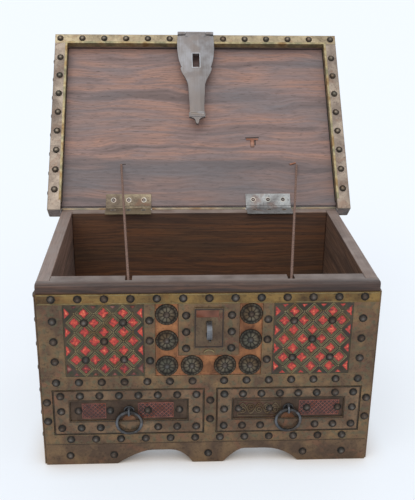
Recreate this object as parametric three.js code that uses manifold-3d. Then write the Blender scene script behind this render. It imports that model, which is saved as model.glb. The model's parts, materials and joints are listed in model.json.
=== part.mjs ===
import * as THREE from 'three';
import { mergeVertices } from 'three/addons/utils/BufferGeometryUtils.js';
import Module from 'manifold-3d';

const wasm = await Module();
wasm.setup();

// Brass-mounted chest: a wooden box on a scalloped plinth, with two drawers below a well, a lid
// that drops over the rim like a cap, nailed brass over the front, sides and lid edges, pierced
// brass over red grounds, an iron hasp and staple, and ring pulls. Millimetres, X to the right,
// Y to the back, Z up. Until the last lines Y is 0 at the front boards' face and Z is 0 on the
// floor. The lid is drawn closed and then swung open about its hinge pins.

// Case
const caseWidth = 400;
const caseDepth = 270;
const caseHeight = 243.5;
const boardThickness = 15.5;
const frontThickness = 26;
const rimEase = 2;
const floorThickness = 10;
const seam = 0.3;
const rimBand = 11.5;

// Drawer openings in the front
const stileWidth = 12;
const dividerWidth = 14;
const dividerCentre = 2.8;
const drawerSill = 43;
const drawerOpeningHeight = 64;
const floorAboveDrawers = 1.3;

// Scalloped foot line
const archRise = 19.5;
const frontArches = [
  { from: -112, crestFrom: -68, crestTo: -46, to: -18 },
  { from: 20, crestFrom: 46, crestTo: 72, to: 114 },
];
const sideFootLength = 66;
const archShoulder = 42;

// Nailed brass on the case
const stripThickness = 1.8;
const stripSetback = 0.5;
const nailRadius = 4.5;
const nailHeight = 2.2;
const nailShoulder = { radius: 0.62, height: 0.75 };
const nailSink = 0.6;
const nailSides = 6;
const nailInset = 5.5;
const topStripHeight = 12.5;
const middleStripHeight = 17;
const railStripHeight = 12;
const cornerStripWidth = 29.5;
const innerStripWidth = 12.5;
const lockSurroundWidth = 71.5;
const rosetteBandWidth = 27;
const nailGap = 30;
const stripNailInset = 18;
const middleNails = { start: 19, gap: 27, drop: 7.2 };
const stileNailRise = [20.5, 47];
const stileNailInset = 5;
const railNailInset = 32;
const railNailDrop = 6;
const footNailX = [-170, -116, 1, 120, 169];
const footNailRise = 13.5;
const columnNailShare = [0.22, 0.5, 0.78];
const sideNailGap = 33;
const sideNailInset = 12;

// Pierced panels over their red grounds
const groundThickness = 0.5;
const latticeThickness = 0.9;
const latticePitch = 22.6;
const latticeRow = 12.2;
const latticeHole = 0.55;
const latticeBorder = 1.5;
const rosetteRadius = 13;
const rosetteValley = 11;
const rosettePetals = 10;
const rosetteHeight = 1;
const rosetteSink = 0.4;
const rosetteGap = 33;
const rosetteUnderLock = 0.4;
const bandThickness = 1.08;

// Lock plate and staple
const lockPlateWidth = 35.4;
const lockPlateHeight = 52;
const lockPlateThickness = 1.2;
const lockPlateDrop = 5;
const lockNailShare = [0.14, 0.46, 0.78];
const lockNailInset = 9;
const stapleWidth = 6;
const stapleOuter = 10;
const stapleBar = 4.5;
const stapleReach = 15.5;
const stapleDrop = 27.2;
const stapleSink = 0.3;

// Drawers
const drawerClearance = 0.3;
const drawerFrontThickness = 15;
const drawerLip = 7;
const drawerWall = 8;
const drawerBottom = 5;
const drawerWallDrop = 6;
const drawerBackRoom = 4;
const drawerBrassMargin = 0.4;
const drawerNailColumns = 8;
const drawerLowNailColumns = 3;
const drawerNailInset = 10;
const drawerNailDrop = 8.5;
const drawerNailRise = 10;
const panelMarginEnd = 21;
const panelMarginTop = 16.5;
const panelMarginBottom = 20;
const inlayThickness = 0.9;
const inlayNailReach = 23;
const inlayNailInset = { left: 9.9, right: 7.1 };
const ringHeightShare = 0.53;

// Ring pulls
const ringRadius = 15;
const ringWire = 2;
const ringSides = 8;
const ringSteps = 22;
const eyeWire = 1.4;
const eyeClearance = 0.6;
const eyePlateRadius = 6.5;
const eyePlateThickness = 1.4;

// Butt hinges
const hingeLength = 66;
const hingeCentres = { left: -104, right: 101 };
const leafThickness = 1.3;
const leafSeat = 0.25;
const leafGap = 0.3;
const caseLeafWidth = 26;
const lidLeafWidth = 22;
const knuckleRadius = 3;
const knuckleCount = 5;
const knuckleClearance = 0.4;
const pinRadius = 1.4;
const boreClearance = 0.3;

// Lid
const lidOpening = 131.7;
const lipClearance = 1.2;
const lipWidth = 16.4;
const sideLipWidth = 19;
const lipLanding = 0.3;
const panelThickness = 11;
const edgeBrass = 1.2;
const innerTurnThickness = 1;
const innerTurnHeight = 6;
const edgeChamfer = 1;
const earOverhang = 10.8;
const earClearance = 0.8;
const lidNailStart = 42;
const lidNailGap = 34;
const lidSideNailStart = 24;
const lidSideNailGap = 32;

// Hasp, drawn flat under the lid's front lip
const haspCentre = -1.5;
const haspHeadWidth = 59;
const haspNeckWidth = 26;
const haspStemWidth = 22;
const haspCollarWidth = 24.5;
const haspHeadEnd = 60;
const haspNeckEnd = 92;
const haspCollarStart = 141;
const haspCollarEnd = 149;
const haspLength = 161;
const haspCentreThickness = 5.2;
const haspEdgeThickness = 1.8;
const haspBevelFrom = 5;
const haspTipHalf = 2.5;
const haspSlotWidth = 11;
const haspSlotFrom = 38;
const haspSlotTo = 62.5;
const haspBarrelWidth = 56;
const haspKnuckleWidth = 31.4;
const strapThickness = 2;
const strapHeight = 24;

// Stay cords: where each leaves its notch in the front rim and where it enters the lid panel,
// as a place across the case and a distance up the panel from the pins.
const cordRadius = 1.7;
const cordSides = 8;
const cordSteps = 30;
const cordSpans = 16;
const cordSag = 3;
const cordNotchWidth = 8;
const cordNotchDepth = 6;
const cordNotchSetback = 13;
const stays = {
  left: { rimX: -93.5, panelX: -115.5, panelReach: 70.7 },
  right: { rimX: 97, panelX: 147, panelReach: 69.5 },
};

// Places worked out from the sizes above
const half = caseWidth / 2;
const wellFloorUnder = drawerSill + drawerOpeningHeight + floorAboveDrawers;
const brassTop = caseHeight - rimBand;
const topStripUnder = brassTop - topStripHeight;
const middleStripUnder = drawerSill + drawerOpeningHeight + seam;
const middleStripTop = middleStripUnder + middleStripHeight;
const panelUnder = middleStripTop + seam;
const panelTop = topStripUnder - seam;
const stripFace = -seam - stripThickness;
const stapleHeight = panelTop - lockPlateDrop - stapleDrop;
const lidGap = 2 * (leafSeat + leafThickness) + leafGap;
const lidUnder = caseHeight + lidGap;
const lidTop = lidUnder + panelThickness;
const lipBottom = brassTop + lipLanding;
const lipInner = half + lipClearance;
const pinY = caseDepth + seam + knuckleRadius;
const pinZ = caseHeight + leafSeat + leafThickness + leafGap / 2;
const woodInner = innerTurnThickness + seam;
const woodOuter = lipWidth - edgeBrass - seam;
const sideWoodOuter = sideLipWidth - edgeBrass - seam;
const earEnd = caseDepth + earOverhang;
const lidFrontFace = -lipClearance - lipWidth;
const haspPivotY = lidFrontFace - seam - strapThickness + knuckleRadius;
const haspPivotZ = lipBottom - seam - knuckleRadius;

// Materials
function finish(color, roughness, metalness) {
  return new THREE.MeshStandardMaterial({ color, roughness, metalness });
}
const caseWood = finish(0x5a4238, 0.7, 0);
const lidWood = finish(0x7d655c, 0.6, 0);
const drawerWood = finish(0x6b4f3d, 0.75, 0);
const agedBrass = finish(0x6b5840, 0.5, 0.9);
const lidBrass = finish(0xa8955f, 0.4, 0.95);
const lockBrass = finish(0x6e5a48, 0.5, 0.9);
const copperGround = finish(0x9a5c38, 0.55, 0.7);
const redGround = finish(0xc9453c, 0.7, 0);
const darkIron = finish(0x3f3c3a, 0.5, 0.85);
const paleIron = finish(0x8f8a88, 0.45, 0.85);
const hingeBrass = finish(0xb0a680, 0.4, 0.9);
const cordFibre = finish(0x7a5f52, 0.9, 0);

// Solids
function solid(geometry) {
  const bare = geometry.clone();
  bare.deleteAttribute('normal');
  bare.deleteAttribute('uv');
  const merged = mergeVertices(bare, 1e-4);
  const mesh = new wasm.Mesh({
    numProp: 3,
    vertProperties: new Float32Array(merged.attributes.position.array),
    triVerts: new Uint32Array(merged.index.array),
  });
  return new wasm.Manifold(mesh);
}

function surface(body) {
  const mesh = body.getMesh();
  const geometry = new THREE.BufferGeometry();
  geometry.setAttribute('position', new THREE.Float32BufferAttribute(mesh.vertProperties, 3));
  geometry.setIndex(new THREE.Uint32BufferAttribute(mesh.triVerts, 1));
  return geometry;
}

function join(...bodies) {
  return bodies.flat().reduce((whole, body) => whole.add(body));
}

function cut(body, ...tools) {
  return tools.flat().reduce((whole, tool) => whole.subtract(tool), body);
}

function block(x, y, z) {
  const [x0, x1] = x;
  const [y0, y1] = y;
  const [z0, z1] = z;
  const geometry = new THREE.BoxGeometry(x1 - x0, y1 - y0, z1 - z0);
  return solid(geometry.translate((x0 + x1) / 2, (y0 + y1) / 2, (z0 + z1) / 2));
}

function rectangle(a0, a1, b0, b1) {
  return new THREE.Shape([
    new THREE.Vector2(a0, b0),
    new THREE.Vector2(a1, b0),
    new THREE.Vector2(a1, b1),
    new THREE.Vector2(a0, b1),
  ]);
}

function extrude(shape, depth, curveSegments = 6) {
  return new THREE.ExtrudeGeometry(shape, { depth, bevelEnabled: false, curveSegments });
}

// A plate drawn in X and Z that grows forward from its back face
function facePlate(shape, backY, thickness) {
  return solid(extrude(shape, thickness).rotateX(Math.PI / 2).translate(0, backY, 0));
}

// A plate drawn in Y and Z that grows away from the middle on its side
function sidePlate(shape, innerX, thickness, side) {
  const geometry = extrude(shape, thickness).rotateX(Math.PI / 2).rotateZ(Math.PI / 2);
  return solid(geometry.translate(side > 0 ? innerX : -innerX - thickness, 0, 0));
}

// A plate drawn in X and Y that grows upward from its under face
function floorPlate(shape, underZ, thickness) {
  return solid(extrude(shape, thickness).translate(0, 0, underZ));
}

function rodAcross(radius, x, y, z, segments = 14) {
  const [x0, x1] = x;
  const geometry = new THREE.CylinderGeometry(radius, radius, x1 - x0, segments);
  return solid(geometry.rotateZ(Math.PI / 2).translate((x0 + x1) / 2, y, z));
}

// Nails: low domes that stand on a sheet, turned to look out of it
const outward = {
  front: (geometry) => geometry.rotateX(Math.PI),
  right: (geometry) => geometry.rotateZ(-Math.PI / 2),
  left: (geometry) => geometry.rotateZ(Math.PI / 2),
  down: (geometry) => geometry.rotateX(-Math.PI / 2),
  up: (geometry) => geometry.rotateX(Math.PI / 2),
};

function nail(facing, x, y, z) {
  const profile = [
    new THREE.Vector2(0, -nailSink),
    new THREE.Vector2(nailRadius, -nailSink),
    new THREE.Vector2(nailRadius, 0),
    new THREE.Vector2(nailRadius * nailShoulder.radius, nailHeight * nailShoulder.height),
    new THREE.Vector2(0, nailHeight),
  ];
  const geometry = new THREE.LatheGeometry(profile, nailSides);
  return solid(outward[facing](geometry).translate(x, y, z));
}

// Evenly spaced places from first to last, as near to the asked gap as they come
function spread(first, last, gap) {
  const count = Math.max(1, Math.round((last - first) / gap));
  return Array.from({ length: count + 1 }, (_, k) => first + ((last - first) * k) / count);
}

function faceNails(places, faceY = stripFace) {
  return places.map(([x, z]) => nail('front', x, faceY, z));
}

function piece(group, name, body, material) {
  const mesh = new THREE.Mesh(surface(body), material);
  mesh.name = name;
  group.add(mesh);
}

// The foot line of a board: feet at both ends and an arch between each pair
function footedBoard(left, right, top, arches, under = 0, cutCorner = 0) {
  const shape = new THREE.Shape();
  shape.moveTo(left, top);
  shape.lineTo(left, under);
  for (const arch of arches) {
    const rise = archRise;
    shape.lineTo(arch.from, under);
    shape.bezierCurveTo(
      arch.from + (arch.crestFrom - arch.from) * 0.3, under + rise * 0.45,
      arch.crestFrom - (arch.crestFrom - arch.from) * 0.3, rise,
      arch.crestFrom, rise,
    );
    shape.lineTo(arch.crestTo, rise);
    shape.bezierCurveTo(
      arch.crestTo + (arch.to - arch.crestTo) * 0.45, rise,
      arch.to - (arch.to - arch.crestTo) * 0.2, under + rise * 0.45,
      arch.to, under,
    );
  }
  shape.lineTo(right, under);
  shape.lineTo(right, top - cutCorner);
  if (cutCorner) shape.lineTo(right - cutCorner, top);
  shape.closePath();
  return shape;
}

function singleArch(from, to) {
  return [{ from, crestFrom: from + archShoulder, crestTo: to - archShoulder, to }];
}

const sideArches = singleArch(sideFootLength, caseDepth - sideFootLength);
const backArches = singleArch(-half + sideFootLength, half - sideFootLength);

// The two drawer openings, as left and right edges in the front
const openings = {
  left: { x0: -half + stileWidth, x1: dividerCentre - dividerWidth / 2 },
  right: { x0: dividerCentre + dividerWidth / 2, x1: half - stileWidth },
};

// Case boards. The front and back boards are rabbeted over the ends of the side boards, to half
// their own thickness.
function rabbetedBoard(shape, backY, thickness, insideSign) {
  const board = facePlate(shape, backY, thickness);
  const halfWay = backY - thickness / 2;
  const inner = half - boardThickness - seam;
  const deep = insideSign > 0
    ? [halfWay - seam, backY + 1]
    : [backY - thickness - 1, halfWay + seam];
  const tall = [-1, caseHeight + 1];
  return cut(board, block([-half - 1, -inner], deep, tall), block([inner, half + 1], deep, tall));
}

// What is sawn out of the front board and its brass for the drawers
function drawerHoles() {
  return Object.values(openings).map(({ x0, x1 }) => block(
    [x0, x1],
    [-stripThickness * 2, frontThickness + 1],
    [drawerSill, drawerSill + drawerOpeningHeight],
  ));
}

function frontBoard() {
  const shape = footedBoard(-half, half, caseHeight, frontArches);
  const notches = Object.values(stays).map(({ rimX }) => block(
    [rimX - cordNotchWidth / 2, rimX + cordNotchWidth / 2],
    [cordNotchSetback, frontThickness + 1],
    [caseHeight - cordNotchDepth, caseHeight + 1],
  ));
  const wornEdge = new THREE.Shape([
    new THREE.Vector2(-1, caseHeight - rimEase - 1),
    new THREE.Vector2(rimEase + 1, caseHeight + 1),
    new THREE.Vector2(-1, caseHeight + 1),
  ]);
  return cut(
    rabbetedBoard(shape, frontThickness, frontThickness, 1), drawerHoles(), notches,
    sidePlate(wornEdge, -half - 1, caseWidth + 2, 1),
  );
}

function sideBoard(side) {
  const shape = footedBoard(
    frontThickness / 2, caseDepth - boardThickness / 2, caseHeight, sideArches,
  );
  return sidePlate(shape, half - boardThickness, boardThickness, side);
}

function insideBoard(underZ, thickness) {
  const x = half - boardThickness - seam;
  return block(
    [-x, x],
    [frontThickness + seam, caseDepth - boardThickness - seam],
    [underZ, underZ + thickness],
  );
}

const chest = new THREE.Group();
const caseGroup = new THREE.Group();
chest.add(caseGroup);

piece(caseGroup, 'front_board', frontBoard(), caseWood);
piece(caseGroup, 'left_side_board', sideBoard(-1), caseWood);
piece(caseGroup, 'right_side_board', sideBoard(1), caseWood);
piece(
  caseGroup, 'back_board',
  rabbetedBoard(
    footedBoard(-half, half, caseHeight, backArches), caseDepth, boardThickness, -1,
  ), caseWood,
);
piece(caseGroup, 'well_floor', insideBoard(wellFloorUnder, floorThickness), caseWood);
piece(
  caseGroup, 'bottom_board',
  insideBoard(drawerSill - seam - floorThickness, floorThickness), caseWood,
);
piece(caseGroup, 'drawer_divider', block(
  [openings.left.x1, openings.right.x0],
  [frontThickness + seam, caseDepth - boardThickness - seam],
  [drawerSill, wellFloorUnder - seam],
), caseWood);

// Brass strips nailed over the front
const stripEnd = half - stripSetback;

function strip(x0, x1, z0, z1, nails) {
  return join(facePlate(rectangle(x0, x1, z0, z1), -seam, stripThickness), faceNails(nails));
}

const topNails = spread(-half + stripNailInset, half - stripNailInset, nailGap)
  .map((x) => [x, brassTop - nailInset]);
piece(caseGroup, 'top_strip', strip(-stripEnd, stripEnd, topStripUnder, brassTop, topNails), agedBrass);

// One sheet frames both drawers: the strip above them, the stiles, the divider and the rail
function drawerFrame() {
  const railUnder = drawerSill - railStripHeight;
  const sheet = facePlate(
    rectangle(-stripEnd, stripEnd, railUnder, middleStripTop), -seam, stripThickness,
  );
  const middleX = spread(middleNails.start, half - stripNailInset, middleNails.gap);
  const middleZ = middleStripTop - middleNails.drop;
  const stileZ = stileNailRise.map((rise) => drawerSill + rise);
  const nails = [];
  for (const side of [-1, 1]) {
    for (const x of middleX) nails.push([side * x, middleZ]);
    for (const z of stileZ) nails.push([side * (stripEnd - stileNailInset), z]);
  }
  for (const z of stileZ) nails.push([dividerCentre, z]);
  for (const x of spread(-half + railNailInset, half - railNailInset, nailGap)) {
    nails.push([x, drawerSill - railNailDrop]);
  }
  return join(cut(sheet, drawerHoles()), faceNails(nails));
}
piece(caseGroup, 'drawer_frame_brass', drawerFrame(), agedBrass);

function skirtBrass() {
  const top = drawerSill - railStripHeight - seam;
  const shape = footedBoard(-stripEnd, stripEnd, top, frontArches, stripSetback);
  const feet = footNailX.map((x) => [x, footNailRise]);
  return join(facePlate(shape, -seam, stripThickness), faceNails(feet));
}
piece(caseGroup, 'skirt_brass', skirtBrass(), agedBrass);

// The upper front between the top strip and the drawer frame, from the corners inward
const panelHeight = panelTop - panelUnder;
const columnNails = columnNailShare.map((share) => panelUnder + panelHeight * share);
const latticeOuter = stripEnd - cornerStripWidth - seam;
const rosetteOuter = lockSurroundWidth / 2 + seam + rosetteBandWidth;
const latticeInner = rosetteOuter + seam + innerStripWidth + seam;

for (const [word, side] of [['left', -1], ['right', 1]]) {
  const span = (a, b) => (side > 0 ? [a, b] : [-b, -a]);
  const cornerNails = columnNails.map((z) => [side * (half - stripNailInset), z]);
  const [c0, c1] = span(stripEnd - cornerStripWidth, stripEnd);
  piece(
    caseGroup, `${word}_corner_strip`, strip(c0, c1, panelUnder, panelTop, cornerNails), agedBrass,
  );
  const innerX = rosetteOuter + seam + innerStripWidth / 2;
  const innerNails = columnNails.map((z) => [side * innerX, z]);
  const [i0, i1] = span(innerX - innerStripWidth / 2, innerX + innerStripWidth / 2);
  piece(
    caseGroup, `${word}_inner_strip`, strip(i0, i1, panelUnder, panelTop, innerNails), agedBrass,
  );
  const [g0, g1] = span(latticeInner, latticeOuter);
  piece(
    caseGroup, `${word}_red_ground`,
    facePlate(rectangle(g0, g1, panelUnder, panelTop), -seam, groundThickness), redGround,
  );
  piece(caseGroup, `${word}_lattice`, lattice(g0, g1), agedBrass);
}

// A pierced sheet: diamonds in staggered rows, and nails at five of the crossings
function lattice(x0, x1) {
  const backY = -seam - groundThickness - seam;
  const faceY = backY - latticeThickness;
  const centreX = (x0 + x1) / 2;
  const centreZ = (panelUnder + panelTop) / 2;
  const sheet = facePlate(rectangle(x0, x1, panelUnder, panelTop), backY, latticeThickness);
  const wide = (latticePitch / 2) * latticeHole;
  const tall = latticeRow * latticeHole;
  const rows = Math.ceil(panelHeight / 2 / latticeRow);
  const columns = Math.ceil((x1 - x0) / 2 / latticePitch) + 1;
  const window = rectangle(
    x0 + latticeBorder, x1 - latticeBorder, panelUnder + latticeBorder, panelTop - latticeBorder,
  );
  const frame = facePlate(window, backY + 1, latticeThickness + 2);
  const diamonds = [];
  for (let row = -rows; row <= rows; row += 1) {
    const shift = row % 2 === 0 ? latticePitch / 2 : 0;
    for (let column = -columns; column <= columns; column += 1) {
      const x = centreX + column * latticePitch + shift;
      const z = centreZ + row * latticeRow;
      const inside = x + wide > x0 + latticeBorder + 1 && x - wide < x1 - latticeBorder - 1
        && z + tall > panelUnder + latticeBorder + 1 && z - tall < panelTop - latticeBorder - 1;
      if (!inside) continue;
      const diamond = new THREE.Shape([
        new THREE.Vector2(x - wide, z),
        new THREE.Vector2(x, z - tall),
        new THREE.Vector2(x + wide, z),
        new THREE.Vector2(x, z + tall),
      ]);
      diamonds.push(facePlate(diamond, backY + 1, latticeThickness + 2).intersect(frame));
    }
  }
  const crossings = [[0, 0], [-1, -2], [1, -2], [-1, 2], [1, 2]]
    .map(([across, up]) => [centreX + across * latticePitch, centreZ + up * latticeRow]);
  return join(cut(sheet, diamonds), faceNails(crossings, faceY));
}

// The band of rosettes that goes down, under and up again round the lock
function rosetteBand() {
  const bandFoot = panelUnder + rosetteBandWidth;
  const shape = rectangle(-rosetteOuter, rosetteOuter, panelUnder, panelTop);
  const inner = lockSurroundWidth / 2 + seam;
  const sheet = facePlate(shape, -seam, bandThickness);
  const faceY = -seam - bandThickness;
  const gap = block([-inner, inner], [-stripThickness * 2, 1], [bandFoot, panelTop + 1]);
  const column = rosetteOuter - rosetteBandWidth / 2;
  const rowZ = panelUnder + rosetteBandWidth / 2;
  const places = [];
  for (const side of [-1, 1]) {
    for (const z of spread(rowZ, panelTop - rosetteBandWidth / 2, rosetteGap)) {
      places.push([side * column, z]);
    }
    places.push([side * column * rosetteUnderLock, rowZ]);
  }
  const flowers = places.map(([x, z]) => (
    facePlate(flower(x, z), faceY + rosetteSink, rosetteHeight + rosetteSink)
  ));
  return join(cut(sheet, gap), flowers, faceNails(places, faceY - rosetteHeight));
}

function flower(x, z) {
  const points = Array.from({ length: rosettePetals * 2 }, (_, k) => {
    const angle = (k * Math.PI) / rosettePetals;
    const radius = k % 2 === 0 ? rosetteRadius : rosetteValley;
    return new THREE.Vector2(x + radius * Math.cos(angle), z + radius * Math.sin(angle));
  });
  return new THREE.Shape(points);
}
piece(caseGroup, 'rosette_band', rosetteBand(), copperGround);

// Lock surround, lock plate and the staple whose legs go through both
const lockFoot = panelUnder + rosetteBandWidth + seam;
const lockPlateFace = stripFace - seam - lockPlateThickness;

function stapleShape() {
  const root = -seam - stapleSink;
  const bend = lockPlateFace - stapleReach + stapleOuter;
  const inner = stapleOuter - stapleBar;
  const shape = new THREE.Shape();
  shape.moveTo(root, stapleHeight - stapleOuter);
  shape.lineTo(bend, stapleHeight - stapleOuter);
  shape.absarc(bend, stapleHeight, stapleOuter, -Math.PI / 2, Math.PI / 2, true);
  shape.lineTo(root, stapleHeight + stapleOuter);
  shape.lineTo(root, stapleHeight + inner);
  shape.lineTo(bend, stapleHeight + inner);
  shape.absarc(bend, stapleHeight, inner, Math.PI / 2, -Math.PI / 2, false);
  shape.lineTo(root, stapleHeight - inner);
  shape.closePath();
  return shape;
}

function stapleHoles() {
  return [-1, 1].map((side) => {
    const middle = stapleHeight + side * (stapleOuter - stapleBar / 2);
    const reach = stapleBar / 2 + seam;
    const wide = stapleWidth / 2 + seam;
    return block([-wide, wide], [lockPlateFace - 1, 1], [middle - reach, middle + reach]);
  });
}

const surroundNails = [-1, 1].flatMap((side) => lockNailShare.map((share) => [
  side * (lockSurroundWidth / 2 - lockNailInset), lockFoot + (panelTop - lockFoot) * share,
]));
piece(caseGroup, 'lock_surround', cut(
  strip(-lockSurroundWidth / 2, lockSurroundWidth / 2, lockFoot, panelTop, surroundNails),
  stapleHoles(),
), agedBrass);
piece(caseGroup, 'lock_plate', cut(
  facePlate(rectangle(
    -lockPlateWidth / 2, lockPlateWidth / 2,
    panelTop - lockPlateDrop - lockPlateHeight, panelTop - lockPlateDrop,
  ), stripFace - seam, lockPlateThickness),
  stapleHoles(),
), lockBrass);
piece(
  caseGroup, 'hasp_staple', sidePlate(stapleShape(), -stapleWidth / 2, stapleWidth, 1), paleIron,
);

// Brass sheets over the sides, nailed round their edges. The upper rear corner is cut off at 45
// degrees, clear of the circle that the lid's ears sweep about the hinge pins.
function sideBrass(side) {
  const y0 = stripSetback;
  const y1 = caseDepth - stripSetback;
  const earSweep = Math.hypot(earEnd - pinY, pinZ - lipBottom) + earClearance;
  const corner = Math.max(0, earSweep * Math.SQRT2 - (pinY - y1) - (pinZ - brassTop));
  const shape = footedBoard(y0, y1, brassTop, sideArches, stripSetback, corner);
  const sheet = sidePlate(shape, half + seam, stripThickness, side);
  const faceX = side * (half + seam + stripThickness);
  const facing = side > 0 ? 'right' : 'left';
  const lowZ = drawerSill - railNailDrop;
  const highZ = brassTop - nailInset;
  const frontY = sideNailInset;
  const rearY = caseDepth - sideNailInset;
  const places = [];
  for (const y of spread(frontY, rearY, sideNailGap)) places.push([y, lowZ], [y, highZ]);
  for (const z of spread(lowZ, highZ, sideNailGap).slice(1, -1)) {
    places.push([frontY, z], [rearY, z]);
  }
  return join(sheet, places.map(([y, z]) => nail(facing, faceX, y, z)));
}
piece(caseGroup, 'left_side_brass', sideBrass(-1), agedBrass);
piece(caseGroup, 'right_side_brass', sideBrass(1), agedBrass);

// Drawers: a lipped front with brass and a red inlay, four walls, and a ring pull
const eyeY = -seam - inlayThickness - seam - eyePlateThickness - eyeClearance - ringWire;
const ringZ = drawerSill + drawerOpeningHeight * ringHeightShare;

function makeDrawer(word, side) {
  const group = new THREE.Group();
  const c = drawerClearance;
  const { x0, x1 } = openings[word];
  const floorZ = drawerSill + c;
  const topZ = drawerSill + drawerOpeningHeight - c;
  const bodyOuter = half - boardThickness - c;
  const bodyInner = side < 0 ? x1 - c : x0 + c;
  const [b0, b1] = side < 0 ? [-bodyOuter, bodyInner] : [bodyInner, bodyOuter];
  const tall = [floorZ, topZ];
  const frontBody = join(
    block([x0 + c, x1 - c], [0, drawerLip], tall),
    block([b0, b1], [drawerLip - 0.5, drawerFrontThickness], tall),
  );
  piece(group, `${word}_drawer_front`, frontBody, drawerWood);

  const wallTop = topZ - drawerWallDrop;
  const backY = caseDepth - boardThickness - drawerBackRoom;
  const deep = [drawerFrontThickness + seam, backY];
  const wallTall = [floorZ, wallTop];
  piece(
    group, `${word}_drawer_left_wall`, block([b0, b0 + drawerWall], deep, wallTall), drawerWood,
  );
  piece(
    group, `${word}_drawer_right_wall`, block([b1 - drawerWall, b1], deep, wallTall), drawerWood,
  );
  const between = [b0 + drawerWall + seam, b1 - drawerWall - seam];
  piece(group, `${word}_drawer_back`, block(
    between, [backY - drawerWall, backY], wallTall,
  ), drawerWood);
  piece(group, `${word}_drawer_bottom`, block(
    between,
    [drawerFrontThickness + seam, backY - drawerWall - seam],
    [floorZ, floorZ + drawerBottom],
  ), drawerWood);

  const edge = c + drawerBrassMargin;
  const face = rectangle(x0 + edge, x1 - edge, drawerSill + edge, topZ - drawerBrassMargin);
  const inlay = {
    x0: x0 + panelMarginEnd,
    x1: x1 - panelMarginEnd,
    z0: drawerSill + panelMarginBottom,
    z1: drawerSill + drawerOpeningHeight - panelMarginTop,
  };
  const sunk = block(
    [inlay.x0, inlay.x1], [-stripThickness * 2, 1], [inlay.z0, inlay.z1],
  );
  const firstX = x0 + drawerNailInset;
  const lastX = x1 - drawerNailInset;
  const nails = [];
  spread(firstX, lastX, (lastX - firstX) / (drawerNailColumns - 1)).forEach((x, k) => {
    const fromEnd = Math.min(k, drawerNailColumns - 1 - k);
    nails.push([x, topZ - drawerNailDrop]);
    if (fromEnd < drawerLowNailColumns) nails.push([x, floorZ + drawerNailRise]);
    if (fromEnd === 0) nails.push([x, ringZ]);
  });
  piece(group, `${word}_drawer_brass`, join(
    cut(facePlate(face, -seam, stripThickness), sunk), faceNails(nails),
  ), agedBrass);

  const centreX = (x0 + x1) / 2;
  const inlayFace = -seam - inlayThickness;
  const endReach = inlay.x1 - centreX - inlayNailInset[word];
  const inlayPlaces = [-endReach, -inlayNailReach, inlayNailReach, endReach]
    .map((reach) => [centreX + reach, ringZ]);
  piece(group, `${word}_drawer_inlay`, join(
    facePlate(
      rectangle(inlay.x0 + seam, inlay.x1 - seam, inlay.z0 + seam, inlay.z1 - seam),
      -seam, inlayThickness,
    ),
    faceNails(inlayPlaces, inlayFace),
  ), redGround);

  piece(group, `${word}_ring_eye`, ringEye(centreX, inlayFace - seam), darkIron);
  const ring = new THREE.TorusGeometry(ringRadius, ringWire, ringSides, ringSteps);
  ring.rotateX(Math.PI / 2).translate(centreX, eyeY, ringZ - ringRadius);
  const ringGroup = new THREE.Group();
  piece(ringGroup, `${word}_ring`, solid(ring), darkIron);
  group.add(ringGroup);
  return group;
}

// A round plate with an upright loop that the ring hangs in
function ringEye(x, backY) {
  const plate = new THREE.CylinderGeometry(eyePlateRadius, eyePlateRadius, eyePlateThickness, 12);
  plate.translate(x, backY - eyePlateThickness / 2, ringZ);
  const loopRadius = ringWire + eyeClearance + eyeWire;
  const loop = new THREE.TorusGeometry(loopRadius, eyeWire, 6, 14);
  loop.rotateY(Math.PI / 2).translate(x, eyeY, ringZ);
  const behind = block(
    [x - loopRadius * 2, x + loopRadius * 2], [backY - 0.2, backY + 20],
    [ringZ - loopRadius * 2, ringZ + loopRadius * 2],
  );
  return join(solid(plate), cut(solid(loop), behind));
}
chest.add(makeDrawer('left', -1), makeDrawer('right', 1));

// Hinges: each leaf carries every other knuckle, and the pin runs through all of them
function hingeLeaf(centreX, onLid) {
  const x0 = centreX - hingeLength / 2;
  const step = hingeLength / knuckleCount;
  const width = onLid ? lidLeafWidth : caseLeafWidth;
  const under = onLid ? lidUnder - leafSeat - leafThickness : caseHeight + leafSeat;
  const plate = block([x0, x0 + hingeLength], [pinY - width, pinY], [under, under + leafThickness]);
  const own = [];
  const other = [];
  for (let k = 0; k < knuckleCount; k += 1) {
    const mine = (k % 2 === 1) === onLid;
    const trim = mine ? knuckleClearance / 2 : -knuckleClearance / 2;
    const ends = [x0 + k * step + trim, x0 + (k + 1) * step - trim];
    if (mine) own.push(rodAcross(knuckleRadius, ends, pinY, pinZ));
    else other.push(rodAcross(knuckleRadius + knuckleClearance, ends, pinY, pinZ));
  }
  const bore = rodAcross(
    pinRadius + boreClearance, [x0 - 1, x0 + hingeLength + 1], pinY, pinZ, 12,
  );
  return cut(join(cut(plate, other), own), bore);
}

for (const [word, centreX] of Object.entries(hingeCentres)) {
  const ends = [centreX - hingeLength / 2, centreX + hingeLength / 2];
  piece(caseGroup, `${word}_hinge_case_leaf`, hingeLeaf(centreX, false), hingeBrass);
  piece(caseGroup, `${word}_hinge_pin`, rodAcross(pinRadius, ends, pinY, pinZ, 12), hingeBrass);
}

// Lid, drawn closed in the case's own places and swung open about the pins
const openAngle = THREE.MathUtils.degToRad(lidOpening);
const lidSwing = new THREE.Group();
lidSwing.position.set(0, pinY, pinZ);
lidSwing.rotation.x = -openAngle;
const lidGroup = new THREE.Group();
lidGroup.position.set(0, -pinY, -pinZ);
lidSwing.add(lidGroup);
chest.add(lidSwing);

const railFrontY = -lipClearance - woodOuter;
const railBackY = -lipClearance - woodInner;
const railUnder = lipBottom + edgeBrass + seam;

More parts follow.
